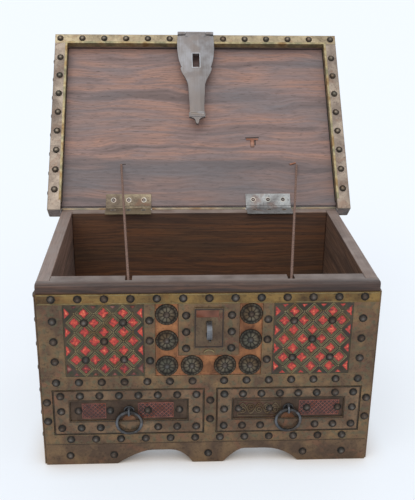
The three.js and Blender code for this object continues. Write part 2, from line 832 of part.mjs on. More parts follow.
piece(lidGroup, 'lid_panel', block(
  [-lipInner - woodInner + seam, lipInner + woodInner - seam],
  [railFrontY, caseDepth - seam],
  [lidUnder, lidTop],
), lidWood);
piece(lidGroup, 'lid_front_rail', block(
  [-lipInner - sideWoodOuter, lipInner + sideWoodOuter],
  [railFrontY, railBackY],
  [railUnder, lidUnder - seam],
), lidWood);

function lidSideRail(side) {
  const shape = new THREE.Shape([
    new THREE.Vector2(railFrontY, lidUnder),
    new THREE.Vector2(seam - lipClearance, lidUnder),
    new THREE.Vector2(seam - lipClearance, railUnder),
    new THREE.Vector2(earEnd, railUnder),
    new THREE.Vector2(earEnd, lidTop),
    new THREE.Vector2(railFrontY, lidTop),
  ]);
  return sidePlate(shape, lipInner + woodInner, sideWoodOuter - woodInner, side);
}
piece(lidGroup, 'lid_left_rail', lidSideRail(-1), lidWood);
piece(lidGroup, 'lid_right_rail', lidSideRail(1), lidWood);

// The sheet brass that wraps a lid edge, as its section from the lip's inner face outward.
// A closed section is the same outline without its hollow, for the ends of the front piece.
const edgeHeight = lidTop + seam + edgeBrass - lipBottom;

function edgeSection(outer, closed) {
  const top = edgeHeight;
  const outline = [
    [0, 0], [outer - edgeChamfer, 0], [outer, edgeChamfer], [outer, top - edgeChamfer],
    [outer - edgeChamfer, top], [0, top],
  ];
  const hollow = [
    [0, top - edgeBrass], [outer - edgeBrass, top - edgeBrass], [outer - edgeBrass, edgeBrass],
    [innerTurnThickness, edgeBrass], [innerTurnThickness, innerTurnHeight], [0, innerTurnHeight],
  ];
  const points = closed ? outline : [...outline, ...hollow];
  return new THREE.Shape(points.map(([a, h]) => new THREE.Vector2(a, h)));
}

// A section along the front edge, from one place across to another
function frontEdge(section, x0, x1) {
  const geometry = extrude(section, x1 - x0).rotateX(Math.PI / 2).rotateZ(-Math.PI / 2);
  return solid(geometry.translate(x1, -lipClearance, lipBottom));
}

const lidNailRow = [];
for (let x = lidNailStart; x < lipInner + sideLipWidth - nailRadius; x += lidNailGap) {
  lidNailRow.push(-x, x);
}
const lidSideNailRow = [];
for (let reach = lidSideNailStart; pinY - reach > nailRadius * 2; reach += lidSideNailGap) {
  lidSideNailRow.push(pinY - reach);
}
const lipMiddle = lipWidth / 2;
const sideLipMiddle = lipInner + sideLipWidth / 2;
const edgeMiddleZ = lipBottom + edgeHeight / 2;
const edgeTopZ = lipBottom + edgeHeight;

function frontEdgeBrass() {
  const end = lipInner + sideLipWidth;
  const nails = lidNailRow.flatMap((x) => [
    nail('down', x, -lipClearance - lipMiddle, lipBottom),
    nail('front', x, lidFrontFace, edgeMiddleZ),
    nail('up', x, -lipClearance - lipMiddle, edgeTopZ),
  ]);
  return join(
    frontEdge(edgeSection(lipWidth, false), -end, end),
    frontEdge(edgeSection(lipWidth, true), -end, edgeBrass - end),
    frontEdge(edgeSection(lipWidth, true), end - edgeBrass, end),
    nails,
  );
}

function sideEdgeBrass(side) {
  const frontEnd = seam - lipClearance;
  const section = edgeSection(sideLipWidth, false);
  const geometry = extrude(section, earEnd - frontEnd).rotateX(Math.PI / 2);
  if (side < 0) geometry.rotateZ(Math.PI);
  geometry.translate(side * lipInner, side > 0 ? earEnd : frontEnd, lipBottom);
  const nails = lidSideNailRow.flatMap((y) => [
    nail('down', side * sideLipMiddle, y, lipBottom),
    nail(side > 0 ? 'right' : 'left', side * (lipInner + sideLipWidth), y, edgeMiddleZ),
    nail('up', side * sideLipMiddle, y, edgeTopZ),
  ]);
  return join(solid(geometry), nails);
}
piece(lidGroup, 'lid_front_brass', frontEdgeBrass(), lidBrass);
piece(lidGroup, 'lid_left_brass', sideEdgeBrass(-1), lidBrass);
piece(lidGroup, 'lid_right_brass', sideEdgeBrass(1), lidBrass);

for (const [word, centreX] of Object.entries(hingeCentres)) {
  piece(lidGroup, `${word}_hinge_lid_leaf`, hingeLeaf(centreX, true), hingeBrass);
}

// Hasp strap on the lid's front face, its pin, and the hasp itself
const haspBarrel = [haspCentre - haspBarrelWidth / 2, haspCentre + haspBarrelWidth / 2];
const haspKnuckle = [haspCentre - haspKnuckleWidth / 2, haspCentre + haspKnuckleWidth / 2];

function barrel(radius, x) {
  return rodAcross(radius, x, haspPivotY, haspPivotZ);
}

function haspStrap() {
  const plate = block(
    haspBarrel,
    [lidFrontFace - seam - strapThickness, lidFrontFace - seam],
    [haspPivotZ, haspPivotZ + strapHeight],
  );
  const gap = [haspKnuckle[0] - knuckleClearance, haspKnuckle[1] + knuckleClearance];
  return cut(
    join(plate, barrel(knuckleRadius, haspBarrel)),
    barrel(knuckleRadius + knuckleClearance, gap),
    barrel(pinRadius + boreClearance, [haspBarrel[0] - 1, haspBarrel[1] + 1]),
  );
}
piece(lidGroup, 'hasp_strap', haspStrap(), paleIron);
piece(lidGroup, 'hasp_pin', barrel(pinRadius, haspBarrel), paleIron);

// Half of the hasp's outline, from its barrel down to its tip, as half width and distance
function haspOutline() {
  const head = haspHeadWidth / 2;
  const neck = haspNeckWidth / 2;
  const stem = haspStemWidth / 2;
  const collar = haspCollarWidth / 2;
  const start = knuckleRadius + knuckleClearance;
  const edge = new THREE.Path();
  edge.moveTo(haspBarrelWidth / 2, start);
  edge.quadraticCurveTo(head + 1.5, haspHeadEnd * 0.6, head * 0.8, haspHeadEnd - 2);
  edge.lineTo(head * 0.76, haspHeadEnd);
  edge.lineTo(head * 0.82, haspHeadEnd + 3);
  edge.bezierCurveTo(
    head * 0.74, haspHeadEnd + 14, neck + 2.5, haspNeckEnd - 12, neck, haspNeckEnd,
  );
  edge.lineTo(stem, haspCollarStart - 12);
  edge.lineTo(stem, haspCollarStart);
  edge.lineTo(collar, haspCollarStart + 0.5);
  edge.lineTo(collar, haspCollarEnd);
  edge.quadraticCurveTo(haspTipHalf, haspCollarEnd + 1.5, haspTipHalf, haspLength - 4);
  edge.quadraticCurveTo(haspTipHalf, haspLength - 1, 0, haspLength);
  const right = edge.getPoints(5);
  const left = right.slice(0, -1).map((p) => new THREE.Vector2(-p.x, p.y)).reverse();
  const place = (p) => new THREE.Vector2(haspCentre + p.x, haspPivotY + p.y);
  return new THREE.Shape([...right, ...left].map(place));
}

function hasp() {
  const flatZ = lipBottom - seam;
  const deep = haspCentreThickness;
  const wide = haspHeadWidth / 2 + 2;
  const bow = new THREE.Shape([
    [-wide, 0], [-wide, -haspEdgeThickness], [-haspBevelFrom, -deep], [haspBevelFrom, -deep],
    [wide, -haspEdgeThickness], [wide, 0],
  ].map(([x, z]) => new THREE.Vector2(haspCentre + x, flatZ + z)));
  const blank = floorPlate(haspOutline(), flatZ - deep - 1, deep + 2);
  const body = blank.intersect(facePlate(bow, haspPivotY + haspLength + 1, haspLength + 2));
  const collarReach = haspStemWidth / 2;
  const collar = block(
    [haspCentre - collarReach, haspCentre + collarReach],
    [haspPivotY + haspCollarStart, haspPivotY + haspCollarEnd],
    [flatZ - deep - 0.8, flatZ - 1],
  );
  const tongue = block(
    haspKnuckle, [haspPivotY, haspPivotY + knuckleRadius * 2],
    [flatZ - haspCentreThickness + seam, flatZ],
  );
  const slot = block(
    [haspCentre - haspSlotWidth / 2, haspCentre + haspSlotWidth / 2],
    [haspPivotY + haspSlotFrom, haspPivotY + haspSlotTo],
    [flatZ - deep - 2, flatZ + 1],
  );
  const bore = barrel(pinRadius + boreClearance, [haspKnuckle[0] - 1, haspKnuckle[1] + 1]);
  return cut(join(body, collar, tongue, barrel(knuckleRadius, haspKnuckle)), slot, bore);
}
const haspGroup = new THREE.Group();
piece(haspGroup, 'hasp', hasp(), paleIron);
lidGroup.add(haspGroup);

// Stay cords from the notched rim to the open lid's panel
function stayCord({ rimX, panelX, panelReach }) {
  const radius = cordRadius;
  const start = new THREE.Vector3(
    rimX, cordNotchSetback + 2 * seam, caseHeight - cordNotchDepth + radius + seam,
  );
  const up = Math.PI - openAngle;
  const under = pinZ - lidUnder + radius * 0.6;
  const end = new THREE.Vector3(
    panelX,
    pinY + panelReach * Math.cos(up) - under * Math.sin(up) - radius,
    pinZ + panelReach * Math.sin(up) + under * Math.cos(up),
  );
  const points = Array.from({ length: cordSpans + 1 }, (_, k) => {
    const share = k / cordSpans;
    const point = start.clone().lerp(end, share);
    point.z -= cordSag * 4 * share * (1 - share);
    return point;
  });
  const ring = Array.from({ length: cordSides }, (_, k) => {
    const angle = (k * 2 * Math.PI) / cordSides;
    return new THREE.Vector2(radius * Math.cos(angle), radius * Math.sin(angle));
  });
  return solid(new THREE.ExtrudeGeometry(new THREE.Shape(ring), {
    extrudePath: new THREE.CatmullRomCurve3(points),
    steps: cordSteps,
    bevelEnabled: false,
  }));
}
piece(caseGroup, 'left_stay_cord', stayCord(stays.left), cordFibre);
piece(caseGroup, 'right_stay_cord', stayCord(stays.right), cordFibre);

// The origin is the middle of the open chest's footprint, on the floor
const extent = new THREE.Box3().setFromObject(chest, true);
const middle = extent.getCenter(new THREE.Vector3());
chest.position.set(-middle.x, -middle.y, -extent.min.z);

export default chest;
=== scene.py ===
import json
import logging
import math
from dataclasses import dataclass, field
from enum import Enum
from typing import Iterable, Protocol

import bpy
import numpy as np
from mathutils import Matrix, Vector


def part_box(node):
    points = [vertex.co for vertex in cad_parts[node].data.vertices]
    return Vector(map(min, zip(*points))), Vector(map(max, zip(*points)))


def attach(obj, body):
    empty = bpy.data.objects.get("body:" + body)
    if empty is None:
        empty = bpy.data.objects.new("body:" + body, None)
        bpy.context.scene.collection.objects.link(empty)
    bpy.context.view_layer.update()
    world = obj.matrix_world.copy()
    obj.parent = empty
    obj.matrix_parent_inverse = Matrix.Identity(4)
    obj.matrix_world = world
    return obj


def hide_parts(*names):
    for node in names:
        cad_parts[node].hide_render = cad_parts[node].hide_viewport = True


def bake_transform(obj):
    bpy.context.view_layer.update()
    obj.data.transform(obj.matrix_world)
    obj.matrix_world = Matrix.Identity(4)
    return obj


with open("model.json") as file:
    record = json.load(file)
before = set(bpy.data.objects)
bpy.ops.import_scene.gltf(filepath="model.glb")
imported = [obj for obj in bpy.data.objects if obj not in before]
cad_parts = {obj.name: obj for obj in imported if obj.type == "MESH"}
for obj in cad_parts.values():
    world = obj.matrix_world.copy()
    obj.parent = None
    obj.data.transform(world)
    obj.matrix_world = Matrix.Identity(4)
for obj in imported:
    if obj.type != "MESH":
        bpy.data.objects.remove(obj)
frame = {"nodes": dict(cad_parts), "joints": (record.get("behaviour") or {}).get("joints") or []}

# A brass-mounted rosewood chest with its lid open: its finishes, and the fine pieces that are too
# small for the frame. Lengths are millimetres until a mesh is made. X runs along the front, Y from
# the front to the back and Z up, as in the frame.

Array = np.ndarray
Socket = bpy.types.NodeSocket
Material = bpy.types.Material

log = logging.getLogger("chest")
MM = 0.001
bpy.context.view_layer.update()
SEED = 1907
# The least divisor of a mitre, so that a sharp corner doesn't shoot out.
SHARPEST_MITRE = 0.35

UP = np.array([0.0, 0.0, 1.0])
FRONT = np.array([0.0, -1.0, 0.0])
LEFT = np.array([-1.0, 0.0, 0.0])
RIGHT = np.array([1.0, 0.0, 0.0])
BACK = np.array([0.0, 1.0, 0.0])


def linear(code: str) -> tuple[float, float, float, float]:
    """Turns an sRGB colour into Blender's linear one.

    Args:
        code: six hex digits.

    Returns:
        Red, green, blue and an alpha of 1.
    """
    parts = [int(code[k:k + 2], 16) / 255 for k in (0, 2, 4)]
    lit = [v / 12.92 if v <= 0.04045 else ((v + 0.055) / 1.055) ** 2.4 for v in parts]
    return (*lit, 1.0)


def corners(node: str) -> tuple[Array, Array]:
    """A frame node's lowest and highest corners in millimetres.

    Args:
        node: the node's name.

    Returns:
        The two corners.
    """
    low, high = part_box(node)
    return np.array(low) / MM, np.array(high) / MM


class LidSwing:
    """Where a place on the closed lid comes to when the lid is open as it stands here."""

    def __init__(self) -> None:
        """Reads the hinge line and the opening angle from the frame's lid joint."""
        hinge = next(j for j in frame["joints"] if j["name"] == "lid_hinge")
        self.pin = np.array(hinge["pos_m"]) / MM
        angle = math.radians(hinge["range_deg"][1])
        c, s = math.cos(angle), math.sin(angle)
        self.turn = np.array([[1, 0, 0], [0, c, s], [0, -s, c]])

    def opened(self, points: Array) -> Array:
        """Turns points about the hinge pins, from the closed lid to the open one."""
        return (np.asarray(points, float) - self.pin) @ self.turn.T + self.pin

    def direction(self, vector: Array) -> Array:
        """Turns a direction from the closed lid to the open one."""
        return self.turn @ vector

    def underside(self) -> Array:
        """A basis for work on the open lid's underside: across, to the front rail and outward."""
        return facing(self.direction(-UP), self.direction(-BACK))


LID = LidSwing()


def facing(outward: Array, up: Array = UP) -> Array:
    """A basis for work laid on a flat face.

    Args:
        outward: the face's direction.
        up: the direction on the face that drawings take as up.

    Returns:
        A matrix whose columns are across, up and outward.
    """
    return np.stack([np.cross(up, outward), up, outward], axis=1)


def grid_quads(rows: int, columns: int, around: bool = False, loop: bool = False) -> Array:
    """The quads of a grid of points, row by row.

    Args:
        rows: how many rows of points.
        columns: how many points in a row.
        around: whether a row's last point joins its first.
        loop: whether the last row joins the first.

    Returns:
        Four point numbers for each quad.
    """
    r = np.arange(rows if loop else rows - 1)[:, None]
    c = np.arange(columns if around else columns - 1)[None, :]
    r2, c2 = (r + 1) % rows, (c + 1) % columns
    quads = np.stack([
        r * columns + c, r * columns + c2, r2 * columns + c2, r2 * columns + c,
    ], axis=-1)
    return quads.reshape(-1, 4)


def rectangle(x0: float, x1: float, z0: float, z1: float) -> Array:
    """A rectangle's corners, counter-clockwise from the lower left."""
    return np.array([(x0, z0), (x1, z0), (x1, z1), (x0, z1)])


@dataclass
class Surface:
    """Points in millimetres, each point's level of rubbing and painted light from 0 to 1, and the faces
    between them.
    """

    points: Array
    wear_and_light: Array
    quads: Array
    triangles: Array = field(default_factory=lambda: np.zeros((0, 3), int))

    def placed(self, origins: Array, bases: Array) -> "Surface":
        """Copies the surface to many places, as one array product.

        Args:
            origins: a place for each copy.
            bases: one 3 by 3 basis for all copies, or one for each.

        Returns:
            All the copies as one surface.
        """
        origins = np.atleast_2d(origins)
        bases = np.broadcast_to(bases, (len(origins), 3, 3))
        points = np.einsum("kij,nj->kni", bases, self.points) + origins[:, None, :]
        step = np.arange(len(origins))[:, None, None] * len(self.points)
        return Surface(
            points.reshape(-1, 3), np.tile(self.wear_and_light, len(origins)),
            (self.quads[None] + step).reshape(-1, 4), (self.triangles[None] + step).reshape(-1, 3),
        )


def on_front(surface: Surface, y: float) -> Surface:
    """Sets work drawn across and up onto a face at a given Y that looks to the front."""
    return surface.placed(np.array([0, y, 0]), facing(FRONT))


def joined(surfaces: Iterable[Surface]) -> Surface:
    """Puts several surfaces into one mesh's arrays.

    Args:
        surfaces: the surfaces, in order.

    Returns:
        One surface that holds them all.
    """
    surfaces = list(surfaces)
    starts = np.cumsum([0] + [len(s.points) for s in surfaces])
    return Surface(
        np.concatenate([s.points for s in surfaces]), np.concatenate([s.wear_and_light for s in surfaces]),
        np.concatenate([s.quads + k for s, k in zip(surfaces, starts)]),
        np.concatenate([s.triangles + k for s, k in zip(surfaces, starts)]),
    )


def capped(points: Array, sides: int, poles: Array, wear_and_light: Array) -> Surface:
    """Joins rings of points into a skin and closes each end with a fan of triangles.

    Args:
        points: the rings' points, ring by ring.
        sides: how many points a ring has.
        poles: the middle of the first end, and that of the last.
        wear_and_light: each point's level of rubbing and painted light, with the poles last.

    Returns:
        The closed surface.
    """
    count = len(points)
    k = np.arange(sides)
    after, last = (k + 1) % sides, count - sides
    fans = np.concatenate([
        np.stack([after, k, np.full(sides, count)], axis=1),
        np.stack([last + k, last + after, np.full(sides, count + 1)], axis=1),
    ])
    quads = grid_quads(count // sides, sides, around=True)
    return Surface(np.concatenate([points, poles]), wear_and_light, quads, fans)


def turned(profile: list[tuple[float, float, float]], sides: int) -> Surface:
    """A turned form: each profile point is carried round the Z axis in equal steps.

    Args:
        profile: radius, height and level of rubbing and painted light for each ring from the bottom
            up. The first and last points lie on the axis, where a fan of triangles closes the form.
        sides: how many steps go round.

    Returns:
        The closed surface.
    """
    table = np.array(profile, float)
    rings = table[1:-1]
    angle = np.arange(sides) * 2 * np.pi / sides
    x = rings[:, :1] * np.cos(angle)
    y = rings[:, :1] * np.sin(angle)
    z = np.broadcast_to(rings[:, 1:2], x.shape)
    around = np.stack([x, y, z], axis=-1).reshape(-1, 3)
    poles = np.array([[0, 0, table[0, 1]], [0, 0, table[-1, 1]]])
    wear_and_light = np.concatenate([np.repeat(rings[:, 2], sides), table[[0, -1], 2]])
    return capped(around, sides, poles, wear_and_light)


def bead(path: Array, section: Array, closed: bool = False) -> Surface:
    """A raised line on a flat face: a closed section carried along a path with mitred corners.

    At each path point the section's offset lies along the mitre, the sum of the two neighbouring
    left normals divided by one plus their product, so the line keeps its width round a corner.

    Args:
        path: across and up of each point.
        section: offset to the left and height of each section point, counter-clockwise.
        closed: whether the path's last point joins its first.

    Returns:
        The line as a closed surface.
    """
    path = np.asarray(path, float)
    ahead = np.roll(path, -1, axis=0) - path
    ahead /= np.linalg.norm(ahead, axis=1, keepdims=True)
    behind = np.roll(ahead, 1, axis=0)
    if not closed:
        ahead[-1] = behind[-1]
        behind[0] = ahead[0]
    left_ahead = np.stack([-ahead[:, 1], ahead[:, 0]], axis=1)
    left_behind = np.stack([-behind[:, 1], behind[:, 0]], axis=1)
    share = 1 + np.sum(left_ahead * left_behind, axis=1, keepdims=True)
    mitre = (left_ahead + left_behind) / np.maximum(share, SHARPEST_MITRE)
    flat = path[:, None, :] + mitre[:, None, :] * section[None, :, :1]
    height = np.broadcast_to(section[None, :, 1:], (*flat.shape[:2], 1))
    points = np.concatenate([flat, height], axis=-1).reshape(-1, 3)
    # Crowns get a higher level than the foot, so they come out lighter, as rubbing and as painted
    # highlight.
    wear_and_light = np.tile(np.clip(section[:, 1] / section[:, 1].max(), 0, 1), len(path))
    if closed:
        return Surface(points, wear_and_light, grid_quads(len(path), len(section), around=True, loop=True))
    ends = np.concatenate([path[[0, -1]], np.full((2, 1), section[:, 1].mean())], axis=1)
    return capped(points, len(section), ends, np.append(wear_and_light, [0.5, 0.5]))


def half_round(width: float, height: float, foot: float = 0.2) -> Array:
    """The section of a raised line: a flat foot sunk a little, and a rounded crown.

    Args:
        width: its width.
        height: its height above the face.
        foot: how deep it is sunk.

    Returns:
        Offset and height of each point, counter-clockwise.
    """
    half = width / 2
    shoulder, crown, side = half * 0.92, half * 0.4, height * 0.55
    return np.array([
        (half, -foot), (shoulder, side), (crown, height),
        (-crown, height), (-shoulder, side), (-half, -foot),
    ])


def square_round(width: float, height: float, foot: float = 0.2) -> Array:
    """The section of a flat line with its two upper corners taken off.

    Args:
        width: its width.
        height: its height above the face.
        foot: how deep it is sunk.

    Returns:
        Offset and height of each point, counter-clockwise.
    """
    half = width / 2
    ease = min(0.3, half / 3)
    return np.array([
        (half, -foot), (half, height - ease), (half - ease, height),
        (ease - half, height), (-half, height - ease), (-half, -foot),
    ])


def tube(path: Array, radii: Array) -> Surface:
    """A tube: for each path point, a ring of the given radii in the plane square to the path.

    Args:
        path: the points that it follows, never straight along X.
        radii: a radius for each path point and each step round.

    Returns:
        The tube, with a fan over each end.
    """
    along = np.gradient(path, axis=0)
    along /= np.linalg.norm(along, axis=1, keepdims=True)
    side = np.cross(along, RIGHT)
    side /= np.linalg.norm(side, axis=1, keepdims=True)
    upper = np.cross(along, side)
    sides = radii.shape[1]
    angle = np.arange(sides) * 2 * np.pi / sides
    round_about = (
        side[:, None] * np.cos(angle)[None, :, None] + upper[:, None] * np.sin(angle)[None, :, None]
    )
    points = (path[:, None] + round_about * radii[:, :, None]).reshape(-1, 3)
    # Thinner places, such as a cord's furrows, get a lower level, so they come out darker as painted
    # shade.
    return capped(points, sides, path[[0, -1]], np.append(radii / radii.max(), [1, 1]))


class Recipe:
    """The node tree of one material, or of the world."""

    def __init__(self, name: str, world: bool = False) -> None:
        """Starts an empty tree.

        Args:
            name: the material's or the world's name.
            world: whether it is the world's.
        """
        self.last = "OutputWorld" if world else "OutputMaterial"
        self.owner = (bpy.data.worlds if world else bpy.data.materials).new(name)
        self.owner.use_nodes = True
        self.tree = self.owner.node_tree
        self.tree.nodes.clear()

    def add(
        self, kind: str, inputs: dict | None = None, output: int | str = 0,
        ramp: list[tuple[float, str]] | None = None, **settings: object,
    ) -> Socket:
        """Adds one node with its settings and links.

        Args:
            kind: the node's type, without its first word.
            inputs: for each input, by name or number, a socket to link or a value.
            output: the output to give back.
            ramp: places and colours of a colour ramp's stops.
            settings: the node's own settings.

        Returns:
            The chosen output.
        """
        node = self.tree.nodes.new("ShaderNode" + kind)
        for key, value in settings.items():
            setattr(node, key, value)
        for key, value in (inputs or {}).items():
            if isinstance(value, Socket):
                self.tree.links.new(value, node.inputs[key])
            else:
                node.inputs[key].default_value = value
        if ramp:
            stops = node.color_ramp.elements
            while len(stops) < len(ramp):
                stops.new(1.0)
            for stop, (place, code) in zip(stops, ramp):
                stop.position = place
                stop.color = linear(code)
        return node.outputs[output] if len(node.outputs) else None

    def millimetres(self) -> Socket:
        """Object coordinates in millimetres."""
        place = self.add("TexCoord", output="Object")
        return self.add("Mapping", {"Vector": place, "Scale": (1 / MM,) * 3})

    def stained(
        self, colour: Socket, pattern: Socket,
        span: tuple[float, float], share: float, code: str,
    ) -> Socket:
        """Lays a stain over a colour where a pattern is strong.

        Args:
            colour: the colour under it.
            pattern: the pattern's strength at each place.
            span: the strength at which the stain starts, and that at which it is full.
            share: how much a full stain covers.
            code: the stain's colour.

        Returns:
            The stained colour.
        """
        cover = self.add("MapRange", {
            "Value": pattern, "From Min": span[0], "From Max": span[1], "To Max": share,
        })
        return self.add("Mix", {0: cover, 6: colour, 7: linear(code)}, 2, data_type="RGBA")

    def edges(self, width: float) -> tuple[Socket, Socket]:
        """Finds a piece's edges by how far a rounded normal turns from the face's own.

        Args:
            width: how far from an edge the normal is rounded.

        Returns:
            The rounded normal, and its cosine with the face's, which falls below 1 at an edge.
        """
        rounded = self.add("Bevel", {"Radius": width * MM}, samples=6)
        flat = self.add("NewGeometry", output="Normal")
        turn = self.add("VectorMath", {0: rounded, 1: flat}, "Value", operation="DOT_PRODUCT")
        return rounded, turn

    def background_rays(self) -> Socket:
        """Tells a ray that sees the background: from the camera, off gloss or through glass.

        Returns:
            1 for such a ray, else 0.
        """
        seen = self.add("LightPath", output="Is Camera Ray")
        for name in ("Is Glossy Ray", "Is Transmission Ray"):
            other = self.add("LightPath", output=name)
            seen = self.add("Math", {0: seen, 1: other}, operation="MAXIMUM")
        return seen

    def finished(self, shader: Socket) -> Material | bpy.types.World:
        """Links the shader to the output and gives the material or the world."""
        self.add(self.last, {"Surface": shader})
        return self.owner


# Most of a noise's values lie between these two.
NOISE_SPAN = {"From Min": 0.3, "From Max": 0.7}


class Finish(Protocol):
    """Anything that can make its material."""

    def build(self) -> Material:
        """Makes the material."""


class Grain(Enum):
    """Which way a board's grain runs, as how far a pattern is drawn out along X, Y and Z."""

    ALONG_X = (1, 0, 0)
    ALONG_Y = (0, 1, 0)

    def stretched(self, along: float, across: float) -> tuple[float, float, float]:
        """A pattern's scale on each axis, from its length along and across the grain."""
        return tuple(1 / along if axis else 1 / across for axis in self.value)


@dataclass(frozen=True)
class OiledRosewood:
    """Rosewood, planed by hand and oiled long ago.

    The eye sees long wavy streaks, dark lines where the rings are cut, short open pores, and a
    dull sheen that greys where the light skims it, painted grey on the faces that look up. Pores
    are drawn as coarse as they need to show.
    """

    name: str
    grain: Grain
    ground: str
    dark: str
    streak: str
    cool: str
    roughness: float = 0.5
    band_width: float = 13.0
    band_length: float = 420.0
    line_width: float = 2.6
    wander: float = 16.0
    line_share: float = 0.62
    darker_below: float = 0.0
    sheen_free_edge: float = 0.0
    top_sheen_colour: str = ""
    pore_colour: str = "1f1512"
    lower_tone: str = "554f50"
    line_stretch: float = 70.0
    drift_size: tuple[float, float] = (150.0, 70.0)
    pore_size: tuple[float, float] = (11.0, 0.9)
    patch_size: tuple[float, float] = (210.0, 55.0)
    level_wave_size: float = 60.0
    blotch_size: float = 24.0

    def build(self) -> Material:
        """Makes the wood: warped bands, ring lines and pores, all drawn out along the grain.

        Returns:
            The material.
        """
        r = Recipe(self.name)
        mm = r.millimetres()
        drift = r.add("TexNoise", {
            "Vector": r.add("Mapping", {
                "Vector": mm, "Scale": self.grain.stretched(*self.drift_size),
            }),
            "Scale": 1.0, "Detail": 2.0,
        }, "Color")
        warped = r.add("VectorMath", {
            0: drift, 1: (self.wander,) * 3, 2: mm,
        }, operation="MULTIPLY_ADD")
        bands, lines, pores, patches = (
            r.add("TexNoise", {
                "Vector": r.add("Mapping", {"Vector": vector, "Scale": self.grain.stretched(*size)}),
                "Scale": 1.0, "Detail": detail, "Roughness": rough,
            })
            for vector, size, detail, rough in (
                (warped, (self.band_length, self.band_width), 3.0, 0.55),
                (warped, (self.line_width * self.line_stretch, self.line_width), 4.0, 0.65),
                (mm, self.pore_size, 2.0, 0.5), (mm, self.patch_size, 2.0, 0.5),
            )
        )
        body = r.add("ValToRGB", {0: bands}, ramp=[
            (0.33, self.dark), (0.46, self.ground), (0.56, self.streak), (0.68, self.ground),
        ])
        body = r.stained(body, patches, (0.48, 0.66), 0.75, self.cool)
        body = r.stained(body, lines, (0.6, 0.42), self.line_share, self.dark)
        body = r.stained(body, pores, (0.6, 0.7), 0.55, self.pore_colour)
        # Painted sheen: faces that look up are greyed toward a pale colour.
        if self.top_sheen_colour:
            body = self._painted_top_sheen(r, mm, body)
        # Darker and cooler below a level, more so further down.
        if self.darker_below:
            body = self._darkened_below(r, mm, body)
        dull = r.add("MapRange", {
            "Value": lines, **NOISE_SPAN,
            "To Min": self.roughness + 0.12, "To Max": self.roughness - 0.08,
        })
        pore = r.add("MapRange", {
            "Value": pores, "From Min": 0.6, "From Max": 0.7, "To Max": 0.55,
        })
        relief = r.add("Math", {0: pore, 1: lines}, operation="SUBTRACT")
        bump = r.add("Bump", {"Height": relief, "Strength": 0.35, "Distance": 0.0004})
        return r.finished(r.add("BsdfPrincipled", {
            "Base Color": body, "Roughness": dull, "Normal": bump, "IOR": 1.48,
        }))

    def _darkened_below(self, r: Recipe, mm: Socket, body: Socket) -> Socket:
        """Darkens and cools the wood below a wavy level, more so further down.

        Args:
            r: the material's tree.
            mm: object coordinates in millimetres.
            body: the wood's colour.

        Returns:
            The colour with its lower part darkened.
        """
        level = r.add("Math", {
            0: r.add("TexNoise", {"Vector": mm, "Scale": 1 / self.level_wave_size, "Detail": 2.0}),
            1: 12.0, 2: r.add("SeparateXYZ", {0: mm}, "Z"),
        }, operation="MULTIPLY_ADD")
        dark_level = self.darker_below + 6.0
        share = r.add("Math", {
            0: r.add("MapRange", {
                "Value": level, "From Min": dark_level, "From Max": dark_level + 4.0,
                "To Min": 1.0, "To Max": 0.0,
            }),
            1: r.add("MapRange", {
                "Value": level, "From Min": dark_level - 20.0, "From Max": dark_level,
                "To Min": 0.32, "To Max": 0.55,
            }),
        }, operation="MULTIPLY")
        return r.add("Mix", {0: share, 6: body, 7: linear(self.lower_tone)}, 2, data_type="RGBA")

    def _painted_top_sheen(self, r: Recipe, mm: Socket, body: Socket) -> Socket:
        """Paints a pale grey sheen on the faces that look up, where the light skims the oiled rim.

        Args:
            r: the material's tree.
            mm: object coordinates in millimetres.
            body: the wood's colour.

        Returns:
            The colour with a painted sheen on its upper faces.
        """
        level = r.add("SeparateXYZ", {0: r.add("TexCoord", output="Normal")}, "Z")
        blotch = r.add("TexNoise", {"Vector": mm, "Scale": 1 / self.blotch_size, "Detail": 4.0})
        share = r.add("Math", {
            0: r.add("MapRange", {"Value": level, "From Min": 0.75, "From Max": 0.95}),
            1: r.add("MapRange", {
                "Value": blotch, **NOISE_SPAN, "To Min": 0.35, "To Max": 0.95,
            }),
        }, operation="MULTIPLY")
        # Near the front edge the painted sheen is mostly left off.
        if self.sheen_free_edge:
            away_from_edge = r.add("MapRange", {
                "Value": r.add("SeparateXYZ", {0: mm}, "Y"), "From Min": self.sheen_free_edge + 4.0,
                "From Max": self.sheen_free_edge + 12.0, "To Min": 0.1,
            })
            share = r.add("Math", {0: share, 1: away_from_edge}, operation="MULTIPLY")
        return r.add("Mix", {0: share, 6: body, 7: linear(self.top_sheen_colour)}, 2, data_type="RGBA")


